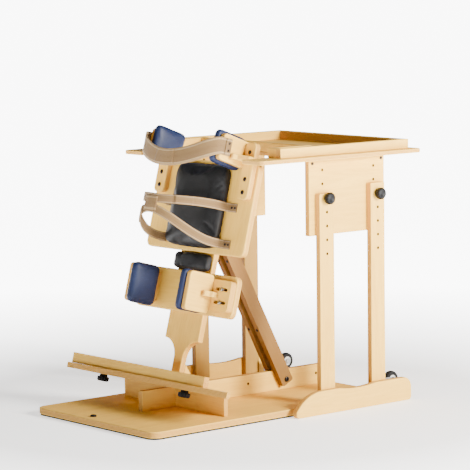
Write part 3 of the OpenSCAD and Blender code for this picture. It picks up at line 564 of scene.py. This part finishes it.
IMAGE = 470
FOCAL_PX = 2442.71
VIEW_AZ, VIEW_EL, VIEW_ROLL = (math.radians(v) for v in (-40.3, 6.48, -0.72))
VIEW_FAR, VIEW_RIGHT, VIEW_UP = 6.9207, 0.09069, 0.14591
VIEW_MIDDLE = Vector((-0.083, 0, 0.35))
SENSOR, VIEW_END = 36, 200
flat_ahead = Vector((-math.sin(VIEW_AZ), math.cos(VIEW_AZ), 0))
ahead = flat_ahead * math.cos(VIEW_EL) - Vector((0, 0, math.sin(VIEW_EL)))
right = Vector((math.cos(VIEW_AZ), math.sin(VIEW_AZ), 0))
up = right.cross(ahead)
eye = VIEW_MIDDLE - ahead * VIEW_FAR + right * VIEW_RIGHT + up * VIEW_UP
rolled_right = right * math.cos(VIEW_ROLL) + up * math.sin(VIEW_ROLL)
rolled_up = up * math.cos(VIEW_ROLL) - right * math.sin(VIEW_ROLL)
camera = bpy.data.objects.new("camera", bpy.data.cameras.new("camera"))
camera.data.sensor_width = SENSOR
camera.data.lens = SENSOR * FOCAL_PX / IMAGE
camera.data.clip_end = VIEW_END
facing = Matrix((rolled_right, rolled_up, -ahead)).transposed()
camera.matrix_world = Matrix.Translation(eye) @ facing.to_4x4()
bpy.context.scene.collection.objects.link(camera)
bpy.context.scene.camera = camera

# One round floor that reaches the horizon and glows more away from the frame, as a lit studio floor does
FLOOR_Z, FLOOR_R, FLOOR_SIDES = -0.0004, 90, 96
# Its own light, up to NEAR metres from the middle and from FAR on
NEAR, FAR = 0.8, 2.6
NEAR_GLOW, FAR_GLOW = 1.2, 9.0
PAINT, PAINT_WARM = rgb(0.90, 0.90, 0.90), rgb(0.92, 0.92, 0.915)
bm = bmesh.new()
bm.faces.new([bm.verts.new(v) for v in ring(FLOOR_R, FLOOR_SIDES, FLOOR_Z)])
s = Shader("floor_paint", Roughness=0.8, Specular_IOR_Level=0.15, Emission_Color=rgb(1, 1, 1))
away = s.node("ShaderNodeVectorMath", {0: s.place()}, operation="LENGTH").outputs["Value"]
glow = s.span(away, NEAR, FAR, NEAR_GLOW, FAR_GLOW)
paint = s.mix(s.span(s.noise(s.place(), 0.6, 2), 0.3, 0.7), PAINT, PAINT_WARM)
floor = new_object("floor", bm, s.set(Base_Color=paint, Emission_Strength=glow))

SKY_POWER = 0.16
world = bpy.data.worlds.new("studio")
world.use_nodes = True
sky = world.node_tree.nodes["Background"]
sky.inputs["Color"].default_value = rgb(1, 1, 1)
sky.inputs["Strength"].default_value = SKY_POWER
bpy.context.scene.world = world

LIGHT_COLOUR = (1, 0.975, 0.93)
LIGHT_AIM = Vector((0, 0, 0.4))


def area_light(name, place, size, power):
    """A soft square light that looks at the middle of the frame."""
    data = bpy.data.lights.new(name, "AREA")
    data.size = size
    data.energy = power
    data.color = LIGHT_COLOUR
    ob = bpy.data.objects.new(name, data)
    ob.location = place
    ob.rotation_mode = "QUATERNION"
    ob.rotation_quaternion = (LIGHT_AIM - Vector(place)).to_track_quat("-Z", "Y")
    bpy.context.scene.collection.objects.link(ob)


area_light("key", place=(1.0, -4.0, 1.7), size=1.2, power=660)
area_light("fill", place=(-3.2, -0.8, 1.6), size=2.4, power=14)
area_light("top", place=(0.2, 0.4, 3.6), size=2.2, power=12)
area_light("back", place=(2.6, 2.4, 2.2), size=2.0, power=12)

# Wood

X, Y, Z = 0, 1, 2
# For each piece: how its frame is turned, the axis through the sheet, the grain, the easing in millimetres
for node, cut in {
    "base_board": (0, Z, X, 3.0), "centre_rail": (0, Y, X, 1.5), "foot_bearer": (0, X, Y, 1.2),
    "footplate": (LEAN, Z, Y, 2.5), "right_runner": (0, Y, X, 3.0), "left_runner": (0, Y, X, 3.0),
    "right_rear_leg": (0, Y, Z, 2.0), "right_front_leg": (0, Y, Z, 2.0),
    "tray_board": (0, Z, X, 2.5), "tray_panels": (0, Y, X, 2.0),
    "spine_board": (LEAN, X, Z, 3.0), "chest_board": (LEAN, X, Z, 4.0), "knee_board": (LEAN, X, Y, 4.0),
    "chest_brackets": (LEAN, X, Z, 3.5), "right_chest_plate": (LEAN, Y, X, 4.0),
    "left_chest_plate": (LEAN, Y, X, 4.0), "right_knee_slide_plate": (LEAN, X, Y, 3.0),
    "left_knee_slide_plate": (LEAN, X, Y, 3.0), "right_knee_plate": (LEAN, Y, X, 4.0),
    "left_knee_plate": (LEAN, Y, X, 4.0), "pivot_cheeks": (LEAN, Y, Z, 1.0),
    "strut_hinge_block": (LEAN, Y, Z, 1.5),
}.items():
    board(node, *cut)
for node, cut in {"chest_gussets": (LEAN, Z, X, 3.0), "right_knee_gusset": (LEAN, Z, X, 3.0),
                  "left_knee_gusset": (LEAN, Z, X, 3.0), "heel_rail": (LEAN, Z, Y, 2.5)}.items():
    board(node, *cut, ply=False)
# Painted shade: the far legs and the strut take a darker tone for the shade they lie in, and the recessed spacer
# is darkest
FAR_LEG_SHADE, BARS_SHADE, SPACER_SHADE = 0.6, 0.85, 0.95
for node in ("left_rear_leg", "left_front_leg"):
    board(node, 0, Y, Z, 2.0, deep=FAR_LEG_SHADE)
board("strut_bars", -STRUT, Y, Z, 2.0, ply=False, deep=BARS_SHADE)
board("strut_spacer", -STRUT, Y, Z, 1.5, ply=False, deep=SPACER_SHADE)

# Thickness and easing of the rim, and the front edge and half width of the cut-out, in millimetres
RIM_T, RIM_EASE, CUT_X, CUT_HALF = 18, 2.5, 100, 222


def rims():
    """The tray's rim: strips that run two ways, with the grain along each and butt joints between them."""
    low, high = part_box("tray_rims")
    t = RIM_T * MM
    cut_x, cut_y = CUT_X * MM, CUT_HALF * MM
    bm = node_bmesh("tray_rims")
    round_edges(bm, RIM_EASE * MM)
    joints = [(Vector((1, 0, 0)), d) for d in (low.x + t, cut_x, cut_x + t, high.x - t)]
    joints += [(Vector((0, 1, 0)), d) for d in (low.y + t, -cut_y - t, cut_y + t, high.y - t)]
    for direction, d in joints:
        whole = bm.verts[:] + bm.edges[:] + bm.faces[:]
        bmesh.ops.bisect_plane(bm, geom=whole, plane_co=direction * d, plane_no=direction)
    for f in bm.faces:
        c = f.calc_center_median()
        front = c.x > high.x - t and abs(c.y) < high.y - t
        rear = c.x < low.x + t and cut_y < abs(c.y) < high.y - t
        middle = cut_x < c.x < cut_x + t and abs(c.y) < cut_y + t
        if front or rear or middle:
            f.material_index += 2
    ob = new_object("tray_rims_wood", bm, *wood_pair(0, Z, X, False), *wood_pair(0, Z, Y, False))
    weigh_normals(ob)
    stand_in(ob, "tray_rims")


rims()

# Pads

PAD_VOXEL, PAD_PINNED, PAD_FRAMES, PAD_FILL = 5 * MM, 4 * MM, 20, 0.75
PAD_SHRINK, PAD_CLEAR = 0.975, 0.1 * MM
# Puckers: their height, how far they lie before the back and how wide they spread there, how near the
# rim they start, and the waves they are made of as count, size and start
PUCKER, PUCKER_AT, PUCKER_SPREAD, PUCKER_RIM = 0.45 * MM, 7 * MM, 6 * MM, 1.6
PUCKER_WAVES = ((31, 1.0, 0.0), (53, 0.6, 1.3), (17, 0.4, 0.4))


def cover(node, material, centre, normal):
    """The pad's solid, drawn in a little, as one even mesh."""
    src = node_bmesh(node)
    bmesh.ops.triangulate(src, faces=src.faces)
    ob = new_object(node + "_cover", src, material)
    for v in ob.data.vertices:
        d = v.co - centre
        deep = normal * d.dot(normal)
        v.co = centre + (d - deep) * PAD_SHRINK + deep * (1 + PAD_SHRINK) / 2
    remesh = ob.modifiers.new("remesh", "REMESH")
    remesh.mode = "VOXEL"
    remesh.voxel_size = PAD_VOXEL
    mesh = bpy.data.meshes.new_from_object(ob.evaluated_get(bpy.context.evaluated_depsgraph_get()))
    ob.modifiers.clear()
    ob.data = mesh
    mesh.materials.clear()
    mesh.materials.append(material)
    return ob


def blow_up(ob, points, pinned, cap):
    """Blows the mesh up as cloth with its back pinned. No point moves further than the cap."""
    group = ob.vertex_groups.new(name="back")
    group.add([int(i) for i in np.nonzero(pinned)[0]], 1.0, "REPLACE")
    cloth = ob.modifiers.new("cloth", "CLOTH")
    cloth.settings.quality = 5
    cloth.settings.mass = 0.25
    cloth.settings.tension_stiffness = cloth.settings.compression_stiffness = 18
    cloth.settings.shear_stiffness = 6
    cloth.settings.bending_stiffness = 0.4
    cloth.settings.use_pressure = True
    cloth.settings.uniform_pressure_force = 4
    cloth.settings.vertex_group_mass = "back"
    cloth.settings.effector_weights.gravity = 0
    cloth.point_cache.frame_start, cloth.point_cache.frame_end = 1, PAD_FRAMES
    for f in range(1, PAD_FRAMES + 1):
        bpy.context.scene.frame_set(f)
    blown = ob.evaluated_get(bpy.context.evaluated_depsgraph_get()).data
    move = np.array([v.co for v in blown.vertices]) - points
    ob.modifiers.clear()
    ob.vertex_groups.clear()
    bpy.context.scene.frame_set(1)
    far = np.linalg.norm(move, axis=1)
    return points + move * np.minimum(1, cap / np.maximum(far, TINY))[:, None]


def gather(points, depth, centre, normal):
    """Small puckers round the pad, behind its front edge, that fade towards the front."""
    out = points - np.array(centre)
    out = out - np.outer(out @ normal, normal)
    reach = np.linalg.norm(out, axis=1)
    side = np.cross(normal, (0, 1, 0) if abs(normal[1]) < 0.5 else (1, 0, 0))
    turn = np.arctan2(out @ np.cross(normal, side), out @ side)
    rim = np.clip(1 - (1 - reach / reach.max()) * PUCKER_RIM, 0, 1)
    near = np.exp(-((depth - PUCKER_AT) / PUCKER_SPREAD) ** 2) * rim
    wave = sum(size * np.sin(turn * count + start) for count, size, start in PUCKER_WAVES)
    return points + out / np.maximum(reach, TINY)[:, None] * (wave * near * PUCKER)[:, None]


def finish_pad(ob, node):
    for p in ob.data.polygons:
        p.use_smooth = True
    smooth = ob.modifiers.new("smooth", "SUBSURF")
    smooth.levels = smooth.render_levels = 1
    stand_in(ob, node)


def pad(node, material, back, facing, cap, mirrored=None):
    """An upholstered pad that lies on a plane, and its mirrored twin where one is named."""
    spots = [v.co for v in NODES[node].data.vertices]
    centre = sum(spots, Vector()) / len(spots)
    normal = np.array(Vector(facing).normalized())
    ob = cover(node, material, centre, Vector(normal))
    points = np.array([v.co for v in ob.data.vertices])
    points = blow_up(ob, points, (points - np.array(back)) @ normal < PAD_PINNED, cap)
    points = gather(points, (points - np.array(back)) @ normal, centre, normal)
    sunk = np.maximum(PAD_CLEAR - (points - np.array(back)) @ normal, 0)
    points = points + np.outer(sunk, normal)
    ob.data.vertices.foreach_set("co", points.astype(np.float32).ravel())
    ob.data.update()
    if mirrored:
        twin_mesh = ob.data.copy()
        twin_mesh.transform(Matrix.Scale(-1, 4, (0, 1, 0)))
        twin_mesh.flip_normals()
        twin = bpy.data.objects.new(mirrored + "_cover", twin_mesh)
        bpy.context.scene.collection.objects.link(twin)
        finish_pad(twin, mirrored)
    finish_pad(ob, node)


def corners(spots):
    """Lowest and highest corner of some points."""
    return tuple(Vector([pick(p[i] for p in spots) for i in range(3)]) for pick in (min, max))


def lean_box(node):
    """Lowest and highest corner of a solid in the leaning frame, in millimetres."""
    inside = LEANING.inverted()
    return corners([inside @ v.co / MM for v in NODES[node].data.vertices])


BACK = LEANING.to_3x3() @ Vector((-1, 0, 0))
SPINE_BACK = lean_box("spine_board")[0].x
BOARD_BACK = lean_box("chest_board")[0].x
CHEST_PLATE = lean_box("right_chest_plate")
KNEE_PLATE = lean_box("right_knee_plate")
# A height on the plane behind each pad, in millimetres, and how far the covers may swell
CHEST_PAD_Z, THIGH_PAD_Z = 520, 365
CHEST_SWELL, THIGH_SWELL, SIDE_SWELL = 5 * MM, 4 * MM, 3.5 * MM
INWARDS = (0, 1, 0)
pad("chest_pad", BLACK_VINYL, lean_at(BOARD_BACK, 0, CHEST_PAD_Z), BACK, CHEST_SWELL)
pad("thigh_pad", BLACK_VINYL, lean_at(SPINE_BACK, 0, THIGH_PAD_Z), BACK, THIGH_SWELL)
pad("right_chest_pad", BLUE_VINYL, (0, CHEST_PLATE[1].y * MM, 0), INWARDS, SIDE_SWELL, "left_chest_pad")
pad("right_knee_pad", BLUE_VINYL, (0, KNEE_PLATE[1].y * MM, 0), INWARDS, SIDE_SWELL, "left_knee_pad")

# Straps

# Thickness of the webbing, the share of it left at the selvedges, and the steps across
STRAP_T, SELVEDGE, ACROSS = 2.4, 0.72, 8


def band(name, path, width, *nodes):
    """Webbing swept along a path of the leaning frame, thinner at the edges, its run kept for the weave."""
    pts = [Vector(p) for p in path]
    section = []
    half, t = width / 2, STRAP_T / 2
    for k in range(ACROSS + 1):
        u = -half + width * k / ACROSS
        section.append((u, t * (SELVEDGE if k in (0, ACROSS) else 1.0)))
    outline = section + [(u, -h) for u, h in reversed(section)]
    bm = bmesh.new()
    layer = bm.verts.layers.float_vector.new("run")
    rings, run = [], 0.0
    for i, p in enumerate(pts):
        onward = pts[min(i + 1, len(pts) - 1)] - pts[max(i - 1, 0)]
        out = Vector((onward.y, -onward.x, 0)).normalized()
        tall = out.cross(onward).normalized()
        if tall.z < 0:
            tall = -tall
        if i:
            run += (p - pts[i - 1]).length
        row = []
        for u, h in outline:
            v = bm.verts.new(LEANING @ ((p + out * h + tall * u) * MM))
            v[layer] = Vector((run * MM, u * MM, abs(u) / half))
            row.append(v)
        rings.append(row)
    n = len(outline)
    for a, b in zip(rings, rings[1:]):
        for k in range(n):
            bm.faces.new((a[k], a[(k + 1) % n], b[(k + 1) % n], b[k])).smooth = True
    bm.faces.new(list(reversed(rings[0])))
    bm.faces.new(rings[-1])
    bmesh.ops.recalc_face_normals(bm, faces=bm.faces)
    finish_piece(new_object(name, bm, WEBBING), "spine", "tan_webbing", *nodes)


def loop_point(a, x, y, reach):
    """A point of the loop behind the user, at an angle from straight back."""
    return x - reach * math.cos(a), y * math.sin(a)


# How the straps run, in millimetres of the leaning frame, as in the solids: first their thickness there
# and the gap to what they lie on, then the tilted chest plate, whose rear end the chest strap leaves
SOLID_STRAP_T, GAP = 2.5, 0.4
STRAP_OFF = GAP + SOLID_STRAP_T / 2
CHEST_PLATE_L, CHEST_PLATE_MID, CHEST_PLATE_TILT = 102, 674, math.radians(6)
CHEST_X, CHEST_Y = BOARD_BACK - CHEST_PLATE_L, -CHEST_PLATE[0].y + STRAP_OFF
CHEST_Z = CHEST_PLATE_MID + CHEST_PLATE_L * math.sin(CHEST_PLATE_TILT)
CHEST_LAP, CHEST_REACH, CHEST_SAG, CHEST_W = 30, 60, 52, 48
CHEST_PAD_T = 32
HIP_FACE, HIP_X = BOARD_BACK - STRAP_OFF, BOARD_BACK - CHEST_PAD_T
HIP_Y, HIP_REACH, HIP_W, HIP_TURN, HIP_TAB = 118.5, 150, 25, 12, 24
WAIST_Z, WAIST_SAG = 527, 14
HIP_Z, HIP_RISE = 423, 62
KEEPER_HALF, KEEPER_OUT, KEEPER_DOWN, KEEPER_W = math.radians(12), SOLID_STRAP_T + GAP, 1.5, 40
# Steps of a loop, a lap on a plate, a tab on the board, the turn from it into the loop, and half the keeper
STEPS, LAP_STEPS, TAB_STEPS, TURN_STEPS, KEEPER_STEPS = 72, 12, 4, 8, 6
# Second layers: how far out they lie, how much narrower they are, and which points of a path they cover
LAYER, LAYER_IN = 2.55, 1
END_POINTS = 9
CHEST_OVERLAP, WAIST_OVERLAP, HIP_OVERLAP = slice(43, 55), slice(26, 36), slice(56, 68)


def chest_path(grow=0.0):
    lead = [(CHEST_X + CHEST_LAP * (1 - i / LAP_STEPS), -CHEST_Y - grow, CHEST_Z) for i in range(LAP_STEPS)]
    loop = []
    for i in range(STEPS + 1):
        a = math.pi * i / STEPS - math.pi / 2
        x, y = loop_point(a, CHEST_X, CHEST_Y + grow, CHEST_REACH + grow)
        loop.append((x, y, CHEST_Z - CHEST_SAG * math.cos(a) ** 2))
    return lead + loop + [(x, -y, z) for x, y, z in reversed(lead)]


def hip_path(z, rise, grow=0.0):
    half = [(HIP_FACE, -HIP_Y - HIP_TURN - HIP_TAB * (1 - i / TAB_STEPS), z) for i in range(TAB_STEPS)]
    for i in range(TURN_STEPS + 1):
        a = math.pi / 2 * i / TURN_STEPS
        half.append((HIP_FACE - HIP_TURN * (1 - math.cos(a)), -HIP_Y - HIP_TURN * (1 - math.sin(a)), z))
    loop = []
    for i in range(STEPS + 1):
        a = math.pi * i / STEPS - math.pi / 2
        x, y = loop_point(a, HIP_X, HIP_Y + grow, HIP_REACH + grow)
        loop.append((x, y, z + rise * math.cos(a) ** 2))
    return half + loop + [(x, -y, pz) for x, y, pz in reversed(half)]


band("chest_strap_web", chest_path(), CHEST_W, "chest_strap")
band("waist_strap_web", hip_path(WAIST_Z, -WAIST_SAG), HIP_W, "waist_strap")
band("hip_strap_web", hip_path(HIP_Z, HIP_RISE), HIP_W, "hip_strap")
keeper = []
for i in range(2 * KEEPER_STEPS + 1):
    a = KEEPER_HALF * (i / KEEPER_STEPS - 1)
    x, y = loop_point(a, HIP_X, HIP_Y + KEEPER_OUT, HIP_REACH + KEEPER_OUT)
    keeper.append((x, y, WAIST_Z - WAIST_SAG - HIP_W / 2 - KEEPER_DOWN))
band("strap_keeper_web", keeper, KEEPER_W, "strap_keeper")
# Sewn second layers: the chest strap's ends and overlap, and the waist and hip straps' overlaps
chest_layer = chest_path(LAYER)
band("chest_strap_end_right", chest_layer[:END_POINTS], CHEST_W - LAYER_IN)
band("chest_strap_end_left", chest_layer[-END_POINTS:], CHEST_W - LAYER_IN)
band("chest_strap_overlap", chest_layer[CHEST_OVERLAP], CHEST_W - LAYER_IN)
band("waist_strap_overlap", hip_path(WAIST_Z, -WAIST_SAG, LAYER)[WAIST_OVERLAP], HIP_W - LAYER_IN)
band("hip_strap_overlap", hip_path(HIP_Z, HIP_RISE, LAYER)[HIP_OVERLAP], HIP_W - LAYER_IN)

# Knobs, bolts and wheels

# Flutes of a knob: their count, their depth as a share, and the heights between which they run
FLUTES, FLUTE_DEEP, FLUTE_LOW, FLUTE_HIGH = 12, 0.115, 6.5 * MM, 18.6 * MM


def flutes(a, z):
    deep = FLUTE_DEEP if FLUTE_LOW < z < FLUTE_HIGH else 0.0
    return 1 - deep * (0.5 + 0.5 * math.cos(FLUTES * a)) ** 2


# Half section of a knob, as radius and height, and its studs, in millimetres
KNOB = [(0.0, 0.0), (10.2, 0.0), (11.0, 0.7), (11.2, 4.8), (12.0, 5.9), (15.6, 6.4), (16.6, 7.4),
        (17.0, 9.0), (17.0, 14.5), (16.6, 16.6), (15.6, 18.2), (14.0, 19.3), (11.5, 19.9), (9.0, 19.9),
        (8.2, 19.2), (0.0, 18.9)]
STUD_R, STUD_TIP, TABLE_STUD, HEEL_STUD = 3.5, 0.4, 17.6, 30.5
KNOB_SIDES, STUD_SIDES = 96, 24


def in_metres(section):
    """A half section given in millimetres."""
    return [(r * MM, z * MM) for r, z in section]


def knob(node, outwards, stud):
    """A fluted knob on its joint, with a steel stud behind it."""
    place = looking(JOINTS[node + "_turn"]["pos_m"], outwards)
    shank = [(0, -stud), (STUD_R - STUD_TIP, -stud), (STUD_R, STUD_TIP - stud), (STUD_R, 0)]
    bm = bmesh.new()
    lathe(bm, in_metres(KNOB), place, KNOB_SIDES, flutes)
    lathe(bm, in_metres(shank), place, STUD_SIDES, material=1)
    bmesh.ops.recalc_face_normals(bm, faces=bm.faces)
    finish_piece(new_object(node + "_grip", bm, BLACK_PLASTIC, STEEL), node, "black_plastic", node)


for side, sign in (("right", -1), ("left", 1)):
    knob(f"{side}_rear_knob", (0, sign, 0), TABLE_STUD)
    knob(f"{side}_front_knob", (0, sign, 0), TABLE_STUD)
    heel = f"{side}_heel_knob"
    knob(heel, -Vector(JOINTS[heel + "_turn"]["axis"]), HEEL_STUD)


def solids(node):
    """Boxes of a node's separate solids in the leaning frame, in millimetres."""
    bm = node_bmesh(node)
    inside = LEANING.inverted()
    boxes = []
    left = set(bm.verts)
    while left:
        stack = [left.pop()]
        spots = []
        while stack:
            v = stack.pop()
            spots.append(inside @ v.co / MM)
            near = {e.other_vert(v) for e in v.link_edges} & left
            left -= near
            stack.extend(near)
        boxes.append(corners(spots))
    bm.free()
    return sorted(boxes, key=lambda b: (round(b[0].y), round(b[0].z)))


def fasteners(node, build, material=STEEL):
    bm = bmesh.new()
    build(bm)
    bmesh.ops.recalc_face_normals(bm, faces=bm.faces)
    # Slot 1, black plastic, is painted shade in the hexagon sockets
    stand_in(new_object(node + "_metal", bm, material, BLACK_PLASTIC), node)


# Sizes of the bolts in millimetres: radius and height of a head, radius and length of a shank, and
# radius, hole and thickness of a washer
BOLT_HEAD, BOLT_R = (8, 4), 4
KNEE_HEAD, KNEE_SHANK = (6, 4), (3, 18.6)
CHEST_HEAD, CHEST_WASHER = (4.5, 2.2), (6.5, 3, 0.8)
CAP_NUT, BOARD_WASHER = (8, 8), (10, 4, 1.5)
FOOT_SHANK = 18
ROD_SIDES = 32


def metres(*sizes):
    return [v * MM for v in sizes]


def rod(bm, place, r, length):
    """A shank that ends at a place and comes to it along the place's Z."""
    foot = place @ Matrix.Translation((0, 0, -length))
    lathe(bm, [(0, 0), (r, 0), (r, length), (0, length)], foot, ROD_SIDES)


def knee_bolts(bm):
    for low, high in solids("knee_bolts"):
        y, z = (low.y + high.y) / 2, (low.z + high.z) / 2
        place = backwards(low.x + KNEE_HEAD[1], y, z)
        button_head(bm, place, *metres(*KNEE_HEAD))
        rod(bm, place, *metres(*KNEE_SHANK))


def chest_bolts(bm):
    for low, high in solids("chest_bolts"):
        y, z = (low.y + high.y) / 2, (low.z + high.z) / 2
        washer(bm, backwards(high.x, y, z), *metres(*CHEST_WASHER))
        button_head(bm, backwards(high.x - CHEST_WASHER[2], y, z), *metres(*CHEST_HEAD))


def board_bolts(bm):
    for low, high in solids("board_bolts"):
        y, z = (low.y + high.y) / 2, (low.z + high.z) / 2
        washer(bm, forwards(low.x, y, z), *metres(*BOARD_WASHER))
        cap_nut(bm, forwards(low.x + BOARD_WASHER[2], y, z), *metres(*CAP_NUT))


def cross_bolt(node, shank=None):
    """Bolts along Y with a head at each end. Their shanks meet in the middle, unless a length is given."""
    def build(bm):
        low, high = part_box(node)
        middle = (low + high) / 2
        half = high.y - BOLT_HEAD[1] * MM
        for side in (-1, 1):
            place = along_y(middle.x, side * half, middle.z, side)
            button_head(bm, place, *metres(*BOLT_HEAD))
            rod(bm, place, BOLT_R * MM, shank * MM if shank else half)
    return build


fasteners("knee_bolts", knee_bolts)
fasteners("chest_bolts", chest_bolts, DARK_STEEL)
fasteners("board_bolts", board_bolts)
fasteners("tilt_pivot_bolt", cross_bolt("tilt_pivot_bolt"))
fasteners("strut_pivot_bolt", cross_bolt("strut_pivot_bolt"))
fasteners("strut_foot_bolts", cross_bolt("strut_foot_bolts", FOOT_SHANK), DARK_STEEL)

# Radius and height of the trim screws' heads, in millimetres
PANEL_SCREW, STRAP_SCREW, STRUT_SCREW, BASE_BOLT = (4.5, 1.6), (3.6, 1.6), (4.5, 1.4), (9, 5)


def trim_screws(name, body, places, head, material=DARK_STEEL, slot="zinc_steel"):
    """Small screws that hold trim, one head at each place."""
    bm = bmesh.new()
    for place in places:
        button_head(bm, place, *metres(*head))
    bmesh.ops.recalc_face_normals(bm, faces=bm.faces)
    # Slot 1, black plastic, is painted shade in the hexagon sockets
    finish_piece(new_object(name, bm, material, BLACK_PLASTIC), body, slot)


# Screws of the tray's panels, from their ends and top
PANEL_IN, PANEL_DOWN = 13 * MM, 10 * MM
panel_low, panel_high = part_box("tray_panels")
trim_screws("panel_screws", "tray",
            [along_y(x, side * panel_high.y, panel_high.z - PANEL_DOWN, side) for side in (-1, 1)
             for x in (panel_low.x + PANEL_IN, panel_high.x - PANEL_IN)], PANEL_SCREW)

# A black bolt in the rear of the base board
BASE_BOLT_X, BASE_BOLT_Y = -0.456, 0.034
base_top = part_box("base_board")[1].z
trim_screws("base_bolt", "base", [Matrix.Translation((BASE_BOLT_X, BASE_BOLT_Y, base_top))], BASE_BOLT,
            BLACK_PLASTIC, "black_plastic")

# Screws of the strap ends: half the spread and the set-in of the chest strap's, the set-in of the others'
CHEST_SPREAD, CHEST_IN, TAB_IN, TAB_END = 10, 9, 4, 7
strap_screws = []
for side in (-1, 1):
    x, y = CHEST_X + CHEST_LAP - CHEST_IN, side * (CHEST_Y + LAYER + STRAP_T / 2)
    for z in (CHEST_Z - CHEST_SPREAD, CHEST_Z + CHEST_SPREAD):
        strap_screws.append(LEANING @ along_y(x * MM, y * MM, z * MM, side))
    for z in (WAIST_Z, HIP_Z):
        for out in (HIP_TURN + TAB_IN, HIP_TURN + HIP_TAB - TAB_END):
            strap_screws.append(backwards(HIP_FACE - STRAP_T / 2, side * (HIP_Y + out), z))
trim_screws("strap_screws", "spine", strap_screws, STRAP_SCREW)

# Screws in the rear edges of the strut's bars: their face, their place across, their shares of its length
STRUT_REAR, STRUT_OUT, STRUT_SHARES = 21 * MM, 18.4 * MM, (0.2, 0.65)
strut_screws = []
for side in (-1, 1):
    for share in STRUT_SHARES:
        spot = Matrix.Translation((-STRUT_REAR, side * STRUT_OUT, -(FOOT - HINGE).length * share))
        strut_screws.append(STRUTTING @ spot @ Matrix.Rotation(-math.pi / 2, 4, "Y"))
trim_screws("strut_screws", "strut", strut_screws, STRUT_SCREW)

# Half sections of a wheel, as radius and width in millimetres
SEAT, WALL, TREAD, HALF, BORE_R, BOSS = 13.2, 20.5, 4.0, 9.0, 4.05, 10.0
WHEEL_SIDES = 72
crown = [(WALL + r, z * HALF / TREAD) for r, z in arc(0, 0, TREAD, -75, 75, 10)]
tyre_section = [(SEAT, -HALF), (WALL, -HALF), *crown, (WALL, HALF), (SEAT, HALF), (SEAT, -HALF)]
hub_side = [(SEAT, 8.4), (SEAT - 0.3, HALF), (SEAT - 1.4, 8.4), (SEAT - 2.2, 6.8), (8.2, 6.8), (7.6, 9.2),
            (7.0, BOSS), (BORE_R, BOSS)]
hub_section = [(r, -z) for r, z in reversed(hub_side)] + hub_side + [(BORE_R, -BOSS)]
for side, sign in (("right", -1), ("left", 1)):
    place = looking(JOINTS[f"{side}_wheel_spin"]["pos_m"], (0, sign, 0))
    for part, section, material in (("tyre", tyre_section, TYRE), ("hub", hub_section, WHITE_PLASTIC)):
        node = f"{side}_{part}"
        bm = bmesh.new()
        lathe(bm, in_metres(section), place, WHEEL_SIDES)
        bmesh.ops.remove_doubles(bm, verts=bm.verts, dist=WELD)
        bmesh.ops.recalc_face_normals(bm, faces=bm.faces)
        stand_in(new_object(node + "_turned", bm, material), node)

# Plated brackets and axles of the wheels
PLATED_EASE, PLATED_SEGMENTS = 0.5 * MM, 2
for node in ("wheel_brackets", "wheel_axles"):
    bm = node_bmesh(node)
    round_edges(bm, PLATED_EASE, PLATED_SEGMENTS)
    ob = new_object(node + "_plated", bm, STEEL, STEEL)
    weigh_normals(ob)
    stand_in(ob, node)

# The mat stays as its solid, with rubber on it
mat_mesh = NODES["non_slip_mat"].data
mat_mesh.materials.clear()
mat_mesh.materials.append(MAT)
